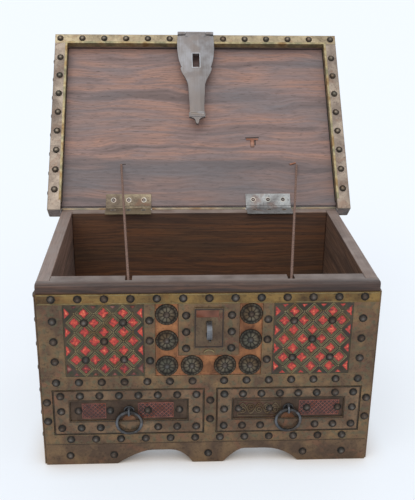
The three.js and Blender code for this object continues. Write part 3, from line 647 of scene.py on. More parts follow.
@dataclass(frozen=True)
class AgedSheetBrass:
    """Thin sheet brass, cut with snips, hammered over wood and left to tarnish.

    The eye sees brown and olive tarnish with yellow metal where it is rubbed, coppery stains,
    shallow dents, and a thin bright line along each cut edge.
    """

    name: str
    tarnish: str
    metal: str
    stain: str
    edge: str
    bright_share: float = 0.5
    roughness: float = 0.5
    edge_width: float = 0.7
    metallic: float = 0.7
    verdigris: str = ""
    speck: str = "2b211b"
    cloud_size: float = 34.0
    speck_size: float = 3.2
    stain_size: float = 21.0
    bloom_size: float = 7.0
    dent_size: float = 11.0

    def build(self) -> Material:
        """Makes the brass: two scales of tarnish, stains, dents and rubbed edges.

        Returns:
            The material.
        """
        r = Recipe(self.name)
        mm = r.millimetres()
        clouds = r.add("TexNoise", {
            "Vector": mm, "Scale": 1 / self.cloud_size, "Detail": 5.0, "Roughness": 0.62,
            "Distortion": 0.4,
        })
        specks = r.add("TexNoise", {
            "Vector": mm, "Scale": 1 / self.speck_size, "Detail": 3.0, "Roughness": 0.7,
        })
        low = 0.66 - 0.34 * self.bright_share
        rubbed = r.add("MapRange", {
            "Value": clouds, "From Min": low - 0.13, "From Max": low + 0.13,
        })
        colour = r.add("Mix", {
            0: rubbed, 6: linear(self.tarnish), 7: linear(self.metal),
        }, 2, data_type="RGBA")
        stains = r.add("TexNoise", {
            "Vector": r.add("Mapping", {"Vector": mm, "Location": (310, 90, 40)}),
            "Scale": 1 / self.stain_size, "Detail": 3.0, "Distortion": 0.8,
        })
        colour = r.stained(colour, stains, (0.55, 0.68), 0.7, self.stain)
        if self.verdigris:
            green = r.add("TexNoise", {"Vector": mm, "Scale": 1 / self.bloom_size, "Detail": 2.0})
            colour = r.stained(colour, green, (0.5, 0.64), 0.7, self.verdigris)
        colour = r.stained(colour, specks, (0.54, 0.74), 0.6, self.speck)
        eased_normal, turn = r.edges(self.edge_width)
        colour = r.stained(colour, turn, (0.985, 0.86), 0.85, self.edge)
        gloss = r.add("MapRange", {
            "Value": clouds, **NOISE_SPAN,
            "To Min": self.roughness + 0.12, "To Max": self.roughness - 0.1,
        })
        dents = r.add("TexNoise", {"Vector": mm, "Scale": 1 / self.dent_size, "Detail": 3.0})
        bump = r.add("Bump", {
            "Height": r.add("Math", {0: dents, 1: specks}, operation="ADD"),
            "Strength": 0.6, "Distance": 0.0007, "Normal": eased_normal,
        })
        return r.finished(r.add("BsdfPrincipled", {
            "Base Color": colour, "Metallic": self.metallic, "Roughness": gloss, "Normal": bump,
        }))


@dataclass(frozen=True)
class RubbedMetal:
    """Small cast and forged fittings, dark in the hollows and light on the crowns, which are rubbed and
    carry a painted highlight.

    The eye sees a dark ring round each form and a lighter point where it stands proudest.
    """

    name: str
    hollow: str
    body: str
    crown: str
    roughness: float = 0.48
    metallic: float = 0.7
    cool_batch: str = "c9d2d6"
    warm_batch: str = "d8c3ae"
    spot_size: float = 5.0
    batch_size: float = 19.0

    def build(self) -> Material:
        """Makes the metal: its colour follows each point's level of rubbing and painted highlight,
        broken up by tarnish.

        Returns:
            The material.
        """
        r = Recipe(self.name)
        mm = r.millimetres()
        spots = r.add("TexNoise", {
            "Vector": mm, "Scale": 1 / self.spot_size, "Detail": 3.0, "Roughness": 0.6,
        })
        each = r.add("TexNoise", {"Vector": mm, "Scale": 1 / self.batch_size, "Detail": 1.0})
        # The mesh level carries both rubbing and painted highlight: a higher level gives a lighter
        # colour.
        level = r.add("Math", {
            0: r.add("MapRange", {
                "Value": spots, **NOISE_SPAN, "To Min": -0.22, "To Max": 0.22,
            }),
            1: r.add("Attribute", output="Fac", attribute_name="wear_and_light"),
        }, operation="ADD")
        colour = r.add("ValToRGB", {0: level}, ramp=[
            (0.12, self.hollow), (0.5, self.body), (0.95, self.crown),
        ])
        tint = r.add("ValToRGB", {0: each}, ramp=[
            (0.35, self.cool_batch), (0.5, "ffffff"), (0.65, self.warm_batch),
        ])
        colour = r.add("Mix", {0: 1.0, 6: colour, 7: tint}, 2, data_type="RGBA", blend_type="MULTIPLY")
        gloss = r.add("MapRange", {
            "Value": level, "To Min": self.roughness + 0.15, "To Max": self.roughness - 0.08,
        })
        bump = r.add("Bump", {"Height": spots, "Strength": 0.4, "Distance": 0.0004})
        return r.finished(r.add("BsdfPrincipled", {
            "Base Color": colour, "Metallic": self.metallic, "Roughness": gloss, "Normal": bump,
        }))


@dataclass(frozen=True)
class CrumpledFoil:
    """Coloured foil laid behind the pierced sheets, crumpled and lacquered red.

    The eye sees a strong orange-red that breaks into pink and pale sparks, painted as glints, and
    dull places where the lacquer has gone.
    """

    name: str
    base: str
    warm: str
    spark: str
    dull: str
    dull_share: float = 0.25
    facet_size: float = 4.2
    fold_size: float = 9.0
    spark_size: float = 2.1
    worn_size: float = 26.0

    def build(self) -> Material:
        """Makes the foil: facets of two reds, painted glints as sparks on the facets' crests, and dull
        patches.

        Returns:
            The material.
        """
        r = Recipe(self.name)
        mm = r.millimetres()
        facets = r.add("TexVoronoi", {"Vector": mm, "Scale": 1 / self.facet_size}, "Color")
        folds = r.add("TexNoise", {"Vector": mm, "Scale": 1 / self.fold_size, "Detail": 4.0})
        mixed = r.add("Math", {
            0: r.add("SeparateXYZ", {0: facets}, "X"), 1: folds,
        }, operation="ADD")
        colour = r.add("ValToRGB", {
            0: r.add("Math", {0: mixed, 1: 0.5}, operation="MULTIPLY"),
        }, ramp=[(0.25, self.base), (0.5, self.warm), (0.6, self.base), (0.75, self.warm)])
        # Painted glints: the spark colour is laid where a fine noise is strong.
        glint = r.add("TexNoise", {"Vector": mm, "Scale": 1 / self.spark_size, "Detail": 2.0})
        colour = r.stained(colour, glint, (0.66, 0.76), 0.9, self.spark)
        worn = r.add("TexNoise", {
            "Vector": r.add("Mapping", {"Vector": mm, "Location": (70, 10, 25)}),
            "Scale": 1 / self.worn_size, "Detail": 2.0,
        })
        start = 0.72 - 0.4 * self.dull_share
        colour = r.stained(colour, worn, (start, start + 0.06), 0.85, self.dull)
        bump = r.add("Bump", {"Height": mixed, "Strength": 0.5, "Distance": 0.0008})
        return r.finished(r.add("BsdfPrincipled", {
            "Base Color": colour, "Metallic": 0.15, "Roughness": 0.42, "Normal": bump,
        }))


@dataclass(frozen=True)
class DomedFoil:
    """The same foil where it bulges through the openings and light catches its crest.

    The eye sees a dark red rim, painted as shade, a strong red and orange body, and a pink or pale spark
    on top, painted as a highlight.
    """

    name: str
    rim: str
    body: str
    warm: str
    crest: str
    crumple_size: float = 2.4

    def build(self) -> Material:
        """Makes the foil: the dome's level of painted light, shifted by fine noise, picks the colour.

        Returns:
            The material.
        """
        r = Recipe(self.name)
        crumple = r.add("TexNoise", {
            "Vector": r.millimetres(), "Scale": 1 / self.crumple_size, "Detail": 3.0,
        })
        shift = r.add("MapRange", {
            "Value": crumple, **NOISE_SPAN, "To Min": -0.45, "To Max": 0.45,
        })
        wear_and_light = r.add("Attribute", output="Fac", attribute_name="wear_and_light")
        level = r.add("Math", {0: shift, 1: wear_and_light}, operation="ADD")
        # Painted light: each dome's foot is dark as shade and its crest pale as a highlight.
        colour = r.add("ValToRGB", {0: level}, ramp=[
            (0.0, self.rim), (0.35, self.body), (0.8, self.warm), (1.0, self.crest),
        ])
        bump = r.add("Bump", {"Height": crumple, "Strength": 0.6, "Distance": 0.0008})
        return r.finished(r.add("BsdfPrincipled", {
            "Base Color": colour, "Metallic": 0.1, "Roughness": 0.4, "Normal": bump,
        }))


@dataclass(frozen=True)
class ForgedIron:
    """Forged iron, filed flat on its bevels and greyed by handling.

    The eye sees cool grey faces with soft file marks along their length, brown rust in patches,
    and pale worn corners.
    """

    name: str
    face: str
    dark: str
    rust: str
    edge: str
    roughness: float = 0.4
    rust_share: float = 0.3
    warm_below: float = 0.0
    edge_width: float = 0.8
    mark_width: float = 1.4
    mark_length: float = 40.0
    cloud_size: float = 15.0
    patch_size: float = 26.0

    def build(self) -> Material:
        """Makes the iron: file marks drawn out up the piece, rust patches and worn corners.

        Returns:
            The material.
        """
        r = Recipe(self.name)
        mm = r.millimetres()
        along = 1 / self.mark_length
        marks = r.add("TexNoise", {
            "Vector": r.add("Mapping", {"Vector": mm, "Scale": (1 / self.mark_width, along, along)}),
            "Scale": 1.0, "Detail": 3.0,
        })
        clouds = r.add("TexNoise", {"Vector": mm, "Scale": 1 / self.cloud_size, "Detail": 4.0})
        both = r.add("Math", {0: marks, 1: 0.3, 2: clouds}, operation="MULTIPLY_ADD")
        colour = r.add("ValToRGB", {0: both}, ramp=[(0.45, self.dark), (0.85, self.face)])
        patch = r.add("TexNoise", {
            "Vector": r.add("Mapping", {"Vector": mm, "Location": (40, 0, 77)}),
            "Scale": 1 / self.patch_size, "Detail": 4.0,
        })
        start = 0.68 - 0.3 * self.rust_share
        colour = r.stained(colour, patch, (start, start + 0.1), 0.6, self.rust)
        if self.warm_below:
            height = r.add("SeparateXYZ", {0: mm}, "Z")
            span = (self.warm_below + 24.0, self.warm_below - 24.0)
            colour = r.stained(colour, height, span, 0.75, self.rust)
        eased_normal, turn = r.edges(self.edge_width)
        colour = r.stained(colour, turn, (0.985, 0.88), 0.7, self.edge)
        gloss = r.add("MapRange", {
            "Value": clouds, **NOISE_SPAN,
            "To Min": self.roughness - 0.08, "To Max": self.roughness + 0.14,
        })
        bump = r.add("Bump", {
            "Height": both, "Strength": 0.15, "Distance": 0.0003, "Normal": eased_normal,
        })
        return r.finished(r.add("BsdfPrincipled", {
            "Base Color": colour, "Metallic": 0.7, "Roughness": gloss, "Normal": bump,
        }))


@dataclass(frozen=True)
class TwistedCord:
    """Two-strand cotton cord, brown with age.

    The eye sees the strands' turning ridges with dark furrows between them, painted as shade, and a dry
    matt face.
    Fibres are drawn coarser than cotton's, so that they show.
    """

    name: str
    yarn: str
    furrow: str
    fibre_size: float = 0.9

    def build(self) -> Material:
        """Makes the cord: its colour follows the strands' height, darker in the furrows as painted
        shade, with fibres as fine noise.

        Returns:
            The material.
        """
        r = Recipe(self.name)
        fibre = r.add("TexNoise", {
            "Vector": r.millimetres(), "Scale": 1 / self.fibre_size, "Detail": 2.0,
        })
        height = r.add("Attribute", output="Fac", attribute_name="wear_and_light")
        level = r.add("Math", {0: height, 1: fibre}, operation="MULTIPLY")
        # Painted shade: low places between the strands take the furrow colour.
        colour = r.add("ValToRGB", {0: level}, ramp=[(0.32, self.furrow), (0.56, self.yarn)])
        bump = r.add("Bump", {"Height": fibre, "Strength": 0.5, "Distance": 0.0003})
        return r.finished(r.add("BsdfPrincipled", {
            "Base Color": colour, "Roughness": 0.9, "Normal": bump,
        }))


class Finishes:
    """Every finish on the chest."""

    lid_wood = OiledRosewood(
        "oiled_rosewood_lid", Grain.ALONG_X, "866c65", "65524d", "9c7462", "6b6668",
        roughness=0.55, band_width=15.0, line_width=2.4, wander=34.0, line_share=0.4,
        darker_below=302.0,
    )
    front_wood = OiledRosewood(
        "oiled_rosewood_front", Grain.ALONG_X, "463024", "291c16", "583b2a", "3d2d27",
        band_width=5.0, top_sheen_colour="81756e", sheen_free_edge=-228.8,
    )
    side_wood = OiledRosewood(
        "oiled_rosewood_sides", Grain.ALONG_Y, "685144", "43332a", "7a5c48", "64534a",
        top_sheen_colour="86776f",
    )
    # Painted light: a lighter copy of the side wood for the left board, to offset the shade on its inner
    # face.
    left_wood_painted_lighter = OiledRosewood(
        "oiled_rosewood_left_side_painted_lighter", Grain.ALONG_Y, "866d61", "5a483f", "9b7b6b", "806e66",
        top_sheen_colour="867972",
    )
    inner_wood = OiledRosewood(
        "oiled_rosewood_inside", Grain.ALONG_X, "5f4230", "35251d", "70492f", "52402f",
        roughness=0.55, top_sheen_colour="8c7d74",
    )
    drawer_wood = OiledRosewood(
        "oiled_rosewood_drawers", Grain.ALONG_X, "6b4f3d", "4a362a", "7d5b43", "665448", roughness=0.6,
    )
    rail_wood = OiledRosewood(
        "oiled_rosewood_lid_rails", Grain.ALONG_Y, "5e4a40", "3d2e28", "6f5344", "5a4d47",
    )
    top_brass = AgedSheetBrass(
        "tarnished_brass_top_strip", "54412c", "8a6e40", "74522f", "a08850", bright_share=0.55,
    )
    front_brass = AgedSheetBrass(
        "tarnished_brass_front", "5f4b3c", "84694a", "7a5643", "8d7858", bright_share=0.35,
        verdigris="5f5a46",
    )
    drawer_brass = AgedSheetBrass(
        "tarnished_brass_drawers", "66503f", "876d53", "805944", "8f7a59", bright_share=0.3,
        verdigris="5c5546",
    )
    sunk_brass = AgedSheetBrass(
        "shadowed_brass_drawer_panels", "43352b", "5d4a3a", "5e3f33", "6e5c45", bright_share=0.3,
    )
    skirt_brass = AgedSheetBrass(
        "tarnished_brass_skirt", "594739", "7c6348", "745340", "806d56", bright_share=0.3,
    )
    side_brass = AgedSheetBrass(
        "tarnished_brass_sides", "5e4b3d", "7e6549", "785643", "85725a", bright_share=0.3,
    )
    lattice_brass = AgedSheetBrass(
        "tarnished_brass_lattice", "41382f", "5a4d3b", "44393f", "7a6c50", bright_share=0.35,
        verdigris="333f31",
    )
    lid_brass = AgedSheetBrass(
        "rubbed_brass_lid_edges", "72645a", "98897a", "7e6656", "a3947a", roughness=0.48,
    )
    lid_front = AgedSheetBrass(
        "rubbed_brass_lid_front", "80725c", "a9997c", "8c7257", "b3a27c", bright_share=0.55,
        roughness=0.48,
    )
    lock_brass = AgedSheetBrass(
        "tarnished_brass_lock_plate", "574639", "73604a", "6b4034", "7d6c50", bright_share=0.35,
    )
    copper = AgedSheetBrass(
        "copper_sheet_band", "67432e", "a56f48", "754c34", "a87e58", bright_share=0.45,
    )
    left_hinge_brass = AgedSheetBrass(
        "rubbed_brass_left_hinge", "6a5c4e", "94856c", "725645", "a3946f",
    )
    right_hinge_brass = AgedSheetBrass(
        "rubbed_brass_right_hinge", "706c6a", "969694", "7c6a62", "a8a8a2", bright_share=0.55,
    )
    red_foil = CrumpledFoil("crumpled_red_foil", "982826", "b24436", "d07c66", "643432")
    drawer_foil = CrumpledFoil("faded_red_foil", "37211c", "452823", "8c3e38", "30201b", dull_share=0.45)
    domed_foil = DomedFoil("bulging_red_foil", "58201c", "a12d26", "c24730", "dc825c")
    pale_iron = ForgedIron(
        "filed_iron_hasp", "9a9899", "736d6a", "756a63", "a8a8a9", roughness=0.5,
        rust_share=0.6, warm_below=412.0,
    )
    staple_iron = ForgedIron("filed_iron_staple", "707276", "3a3a39", "544439", "a0a2a6", roughness=0.44)
    iron_nail = RubbedMetal("dark_iron_nails", "19150f", "453a31", "67615b", metallic=0.5)
    brass_nail = RubbedMetal("brass_nails", "2a231d", "5a4e40", "85796a")
    traced_brass = RubbedMetal("traced_brass_lines", "443a2c", "6a5d45", "8c7d5a")
    lattice_line = RubbedMetal("traced_lattice_lines", "2a231e", "665842", "9c8e68")
    # Painted shadow: dark lines laid where gaps and panel edges hold shade.
    shadow_line = RubbedMetal("shadowed_brass_lines", "1c1613", "2e2520", "4a3d30")
    traced_copper = RubbedMetal("traced_copper_lines", "4f3024", "7d4d38", "a8795c")
    rose_rib = RubbedMetal("rose_lacquer_ribs", "38241f", "683e36", "905c50")
    traced_rose = RubbedMetal("rose_lacquer_scrolls", "5a3430", "84504a", "a87a6c")
    carved_brass = RubbedMetal("carved_brass_vine", "2b221b", "46392c", "63543f")
    patch_copper = RubbedMetal("reddened_copper_patch", "40261f", "5e372c", "7c5040")
    warm_patch = RubbedMetal("rubbed_copper_patch", "523828", "6e4d38", "866146")
    rosette_metal = RubbedMetal("embossed_rosettes", "2a241e", "4a4236", "696050")
    dark_iron = RubbedMetal("dark_iron_rings", "151413", "2e2c2b", "5e5f62", 0.46, 0.45)
    bright_iron = RubbedMetal("filed_iron_edges", "706f72", "8f8f92", "b4b4b6")
    screw_metal = RubbedMetal("turned_screws", "3c2422", "84756c", "b8b0a4")
    edge_brass = RubbedMetal("pale_brass_edge", "54483c", "6f6252", "857662")
    gold_edge = RubbedMetal("bright_brass_edge", "6a5d44", "938463", "b0a27c")
    # Dark joints and marks, and also the painted shadow along the lid's inner corner.
    dark_joint_and_shadow = RubbedMetal(
        "dark_joints_and_painted_shadow", "17100d", "231a16", "33261f", roughness=0.8, metallic=0.0,
    )
    red_plug = RubbedMetal(
        "reddish_wood_plug", "6a4232", "865440", "a07058", roughness=0.6, metallic=0.0,
    )
    cord = TwistedCord("twisted_cotton_cord", "86695b", "46332b")


def in_scene(name: str, data: bpy.types.ID) -> bpy.types.Object:
    """Makes an object and puts it in the scene.

    Args:
        name: its name.
        data: its mesh, camera or lamp.

    Returns:
        The object.
    """
    thing = bpy.data.objects.new(name, data)
    bpy.context.scene.collection.objects.link(thing)
    return thing


class Stock:
    """Keeps each finish's material, so that it is built once."""

    def __init__(self) -> None:
        """Starts with nothing built."""
        self.finishes = Finishes()
        self._made: dict[Finish, Material] = {}

    def material(self, finish: Finish) -> Material:
        """Gives a finish's material, building it the first time.

        Args:
            finish: the finish.

        Returns:
            The material.
        """
        if finish not in self._made:
            self._made[finish] = finish.build()
        return self._made[finish]

    def dress(self, finish: Finish, *nodes: str) -> None:
        """Gives frame nodes their finish.

        Args:
            finish: the finish.
            nodes: the nodes' names.
        """
        for name in nodes:
            slots = frame["nodes"][name].data.materials
            if not len(slots):
                slots.append(None)
            for k in range(len(slots)):
                slots[k] = self.material(finish)
            log.info("dressed %s in %s", name, finish.name)

    def piece(
        self, name: str, surface: Surface, finish: Finish, body: str = "",
        sharp: float = 35.0,
    ) -> bpy.types.Object:
        """Makes a mesh piece, which rides on a body where one is named.

        Args:
            name: the piece's name.
            surface: its shape.
            finish: its finish.
            body: the body that it moves with.
            sharp: the angle in degrees past which an edge stays crisp.

        Returns:
            The object.
        """
        mesh = bpy.data.meshes.new(name)
        faces = surface.quads.tolist() + surface.triangles.tolist()
        mesh.from_pydata((surface.points * MM).tolist(), [], faces)
        mesh.attributes.new("wear_and_light", "FLOAT", "POINT").data.foreach_set(
            "value", surface.wear_and_light.astype(np.float32),
        )
        mesh.shade_smooth()
        mesh.set_sharp_from_angle(angle=math.radians(sharp))
        mesh.materials.append(self.material(finish))
        thing = in_scene(name, mesh)
        if body:
            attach(thing, body)
        log.info("made %s, %d faces, on %s", name, len(faces), body or "two bodies")
        return thing


@dataclass
class NailHead:
    """A cast nail head: a flat rim, a groove and a dome."""

    rim: float = 5.1
    height: float = 2.8
    sides: int = 10
    frame_height: float = 2.2
    tilt: float = 4.0

    def surface(self) -> Surface:
        """The head as a turned form with a crown that is rubbed and painted lighter as a highlight.

        Returns:
            The closed surface, its foot a little under the sheet.
        """
        return turned([
            (0, -0.3, 0), (self.rim, -0.3, 0.0), (self.rim, 0.7, 0.35),
            (self.rim * 0.84, 0.8, 0.0), (self.rim * 0.68, 1.8, 0.35),
            (self.rim * 0.4, self.height * 0.92, 0.6), (0, self.height, 1.0),
        ], self.sides)

    def over(self, node: str, outward: Array) -> Surface:
        """Heads over all of a node's nails that face one way.

        The nails' tips are the node's farthest points that way. Each head is turned about its
        own axis and tilted by a few degrees, as nails driven by hand are.

        Args:
            node: the frame node.
            outward: the way that the nails face.

        Returns:
            The heads as one surface.
        """
        mesh = frame["nodes"][node].data
        flat = np.zeros(len(mesh.vertices) * 3, np.float32)
        mesh.vertices.foreach_get("co", flat)
        points = flat.reshape(-1, 3).astype(float) / MM
        reach = points @ outward
        tips = np.unique(np.round(points[reach > reach.max() - 0.05], 1), axis=0)
        random = np.random.default_rng(SEED + len(tips))
        spin = random.uniform(0, 2 * np.pi, len(tips))
        lean = np.radians(random.uniform(-self.tilt, self.tilt, (len(tips), 2)))
        c, s, none, one = np.cos(spin), np.sin(spin), np.zeros(len(tips)), np.ones(len(tips))
        turning = np.stack([c, -s, lean[:, 0], s, c, lean[:, 1], none, none, one], axis=1)
        aside = UP if abs(outward[2]) < 0.5 else BACK
        aside = aside - outward * (aside @ outward)
        basis = facing(outward, aside / np.linalg.norm(aside))
        origins = tips - outward * self.frame_height
        return self.surface().placed(origins, basis @ turning.reshape(-1, 3, 3))

    def drive(
        self, stock: Stock, name: str, faces: Iterable[tuple[str, Array]],
        body: str = "case",
    ) -> None:
        """Makes one piece of the heads over the nails of some frame faces.

        Args:
            stock: the finishes.
            name: the piece's name.
            faces: each frame node, and the way that its nails face.
            body: the body that they move with.
        """
        f = stock.finishes
        finish, slot = (f.iron_nail, "aged_brass") if body != "lid" else (f.brass_nail, "lid_brass")
        heads = joined(self.over(node, outward) for node, outward in faces)
        stock.piece(name, heads, finish, body, sharp=50)


@dataclass
class Studio:
    """The camera, the pale floor, the sun and the sky."""

    place: tuple[float, float, float] = (-0.04865, -1.07654, 0.61685)
    yaw: float = 0.054033
    pitch: float = 0.372401
    roll: float = 0.012427
    lens: float = 57.986
    floor_half: float = 30.0
    floor_lines: int = 13
    backdrop: str = "f1f6fc"
    sky: float = 0.88
    sun: float = 1.3
    sun_angle: float = 55.0
    sun_turn: tuple[float, float, float] = (34.0, -10.0, -8.0)
    paper_glow: float = 0.6
    contact: float = 0.034
    warm_shade: str = "c49e64"

    def camera(self) -> None:
        """Sets the camera where the chest was seen from."""
        out = Vector((
            math.sin(self.yaw) * math.cos(self.pitch),
            math.cos(self.yaw) * math.cos(self.pitch), -math.sin(self.pitch),
        ))
        level = out.cross(Vector(UP)).normalized()
        above = level.cross(out)
        c, s = math.cos(self.roll), math.sin(self.roll)
        across, upward = c * level + s * above, c * above - s * level
        turn = Matrix((across, upward, -out)).transposed().to_4x4()
        data = bpy.data.cameras.new("camera")
        data.lens = self.lens
        data.clip_end = 100.0
        camera = in_scene("camera", data)
        camera.matrix_world = Matrix.Translation(self.place) @ turn
        bpy.context.scene.camera = camera

    def floor(self) -> None:
        """Lays the pale floor that the chest stands on, which keeps its shadow."""
        side = np.linspace(-self.floor_half, self.floor_half, self.floor_lines)
        x, y = np.meshgrid(side, side)
        points = np.stack([x, y, np.zeros_like(x)], axis=-1).reshape(-1, 3)
        mesh = bpy.data.meshes.new("floor")
        mesh.from_pydata(points.tolist(), [], grid_quads(*x.shape).tolist())
        mesh.materials.append(self.paper())
        in_scene("floor", mesh)

    def paper(self) -> Material:
        """Pale seamless paper that glows for rays that see the background, except close under the chest,
        where a warm painted shade is laid.

        Returns:
            The material.
        """
        r = Recipe("pale_paper_floor")
        pale = linear(self.backdrop)
        clear = r.add("AmbientOcclusion", {"Distance": self.contact}, "AO", samples=8)
        # Painted shade: where the chest hides the paper, its colour turns to the warm shade and its glow
        # fades.
        shaded = r.add("Mix", {
            0: clear, 6: linear(self.warm_shade), 7: pale,
        }, 2, data_type="RGBA")
        seen = r.add("Math", {
            0: r.background_rays(),
            1: r.add("Math", {0: clear, 1: self.paper_glow}, operation="MULTIPLY"),
        }, operation="MULTIPLY")
        return r.finished(r.add("MixShader", {
            0: seen, 1: r.add("BsdfDiffuse", {"Color": shaded}), 2: r.add("Emission", {"Color": pale}),
        }))

    def lamps(self) -> None:
        """Hangs one broad soft sun over the camera's left shoulder, and lights the sky."""
        data = bpy.data.lights.new("sun", "SUN")
        data.energy = self.sun
        data.angle = math.radians(self.sun_angle)
        sun = in_scene("sun", data)
        sun.rotation_euler = [math.radians(angle) for angle in self.sun_turn]
        r = Recipe("sky", world=True)
        strength = r.add("MapRange", {
            "Value": r.background_rays(), "To Min": self.sky, "To Max": 1.0,
        })
        bpy.context.scene.world = r.finished(r.add("Background", {
            "Color": linear(self.backdrop), "Strength": strength,
        }))

    def build(self) -> None:
        """Sets up everything round the chest."""
        self.camera()
        self.floor()
        self.lamps()
        bpy.context.scene.view_settings.view_transform = "Standard"


@dataclass
class StayCord:
    """A cord from the front rim's notch to the lid's panel, with the frame's own route."""

    word: str
    rim_x: float
    panel_x: float
    panel_reach: float
    behind_front: float = 13.6
    under_rim: float = 4.0
    over_pins: float = 0.68
    sag: float = 3.0
    spans: int = 16
    rings: int = 180
    radius: float = 1.7
    furrow: float = 0.2
    strands: int = 2
    lay_length: float = 11.0
    sides: int = 14

    def ends(self) -> tuple[Array, Array]:
        """Where the cord leaves the rim's notch and where it meets the open lid's panel.

        Returns:
            The two places.
        """
        low, high = corners("front_board")
        start = np.array([self.rim_x, low[1] + self.behind_front, high[2] - self.under_rim])
        closed = (self.panel_x, LID.pin[1] - self.panel_reach, LID.pin[2] + self.over_pins)
        return start, LID.opened(np.array(closed)) + FRONT * self.radius

    def build(self, stock: Stock) -> None:
        """Lays the cord: a straight route that sags as a parabola, and strands that turn round it.

        Args:
            stock: the finishes.
        """
        share = np.linspace(0, 1, self.spans + 1)[:, None]
        start, end = self.ends()
        route = start + (end - start) * share
        route[:, 2] -= (self.sag * 4 * share * (1 - share))[:, 0]
        fine = np.linspace(0, 1, self.rings)
        path = np.stack([np.interp(fine, share[:, 0], route[:, k]) for k in range(3)], axis=1)
        length = float(np.linalg.norm(np.diff(route, axis=0), axis=1).sum())
        angle = np.arange(self.sides) * 2 * np.pi / self.sides
        twist = 2 * np.pi * fine[:, None] * length / self.lay_length
        phase = self.strands / 2 * (angle[None, :] - twist)
        radii = self.radius * (1 - self.furrow + self.furrow * np.abs(np.cos(phase)))
        cord = stock.piece(
            f"{self.word}_twisted_cord", tube(path, radii), stock.finishes.cord,
            sharp=80,
        )
        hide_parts(f"{self.word}_stay_cord")
        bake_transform(cord)


def eased(node: str, width: float, segments: int = 2, sharper_than: float = 40.0) -> None:
    """Takes the sharp corners off a frame node, as a plane or a file does.

    Args:
        node: the frame node.
        width: how much is taken off.
        segments: how many faces round the corner has.
        sharper_than: the angle in degrees past which an edge counts as a corner.
    """
    thing = frame["nodes"][node]
    weld = thing.modifiers.new("meeting_corners", "WELD")
    weld.merge_threshold = 0.01 * MM
    bevel = thing.modifiers.new("eased_corners", "BEVEL")
    bevel.width = width * MM
    bevel.segments = segments
    bevel.limit_method = "ANGLE"
    bevel.angle_limit = math.radians(sharper_than)
    bevel.use_clamp_overlap = True


@dataclass
class Boards:
    """The case's boards: front, sides, back, floors and the board between the drawers."""

    corner: float = 0.9

    def build(self, stock: Stock) -> None:
        """Dresses the boards and eases their corners.

        Args:
            stock: the finishes.
        """
        f = stock.finishes
        stock.dress(f.front_wood, "front_board")
        stock.dress(f.left_wood_painted_lighter, "left_side_board")
        stock.dress(f.side_wood, "right_side_board")
        stock.dress(f.inner_wood, "back_board")
        stock.dress(f.drawer_wood, "well_floor", "bottom_board", "drawer_divider")
        for node in ("front_board", "left_side_board", "right_side_board", "back_board"):
            eased(node, self.corner)


@dataclass
class FrontSheets:
    """The brass strips and sheets nailed over the case's front."""

    node_nails: tuple[str, ...] = (
        "top_strip", "drawer_frame_brass", "skirt_brass", "left_corner_strip",
        "right_corner_strip", "left_inner_strip", "right_inner_strip", "lock_surround",
        "left_lattice", "right_lattice",
    )
    crease_width: float = 0.7
    crease_height: float = 0.35
    crease_inset: float = 1.5

    def build(self, stock: Stock) -> None:
        """Dresses the sheets, drives their nails and creases the long strips.

        Args:
            stock: the finishes.
        """
        f = stock.finishes
        stock.dress(f.top_brass, "top_strip")
        stock.dress(f.front_brass, "left_corner_strip", "right_corner_strip", "left_inner_strip",
                    "right_inner_strip", "lock_surround", "drawer_frame_brass")
        stock.dress(f.skirt_brass, "skirt_brass")
        NailHead().drive(stock, "front_nails", ((node, FRONT) for node in self.node_nails))
        # The skirt's crease takes the dark lines of painted shadow.
        for name, finish, node, drops in (
            ("top_strip_creases", f.traced_brass, "top_strip", (1.0, 11.5)),
            ("skirt_crease", f.shadow_line, "skirt_brass", (1.0,)),
        ):
            stock.piece(name, self.creases(node, drops), finish, "case")

    def creases(self, node: str, drops: tuple[float, ...]) -> Surface:
        """Raised creases along a strip.

        Args:
            node: the strip.
            drops: how far each crease lies below the strip's upper edge.

        Returns:
            The creases.
        """
        low, high = corners(node)
        section = half_round(self.crease_width, self.crease_height)
        ends = low[0] + self.crease_inset, high[0] - self.crease_inset
        return on_front(joined(
            bead(np.array([(x, high[2] - drop) for x in ends]), section) for drop in drops
        ), low[1] + NailHead.frame_height)


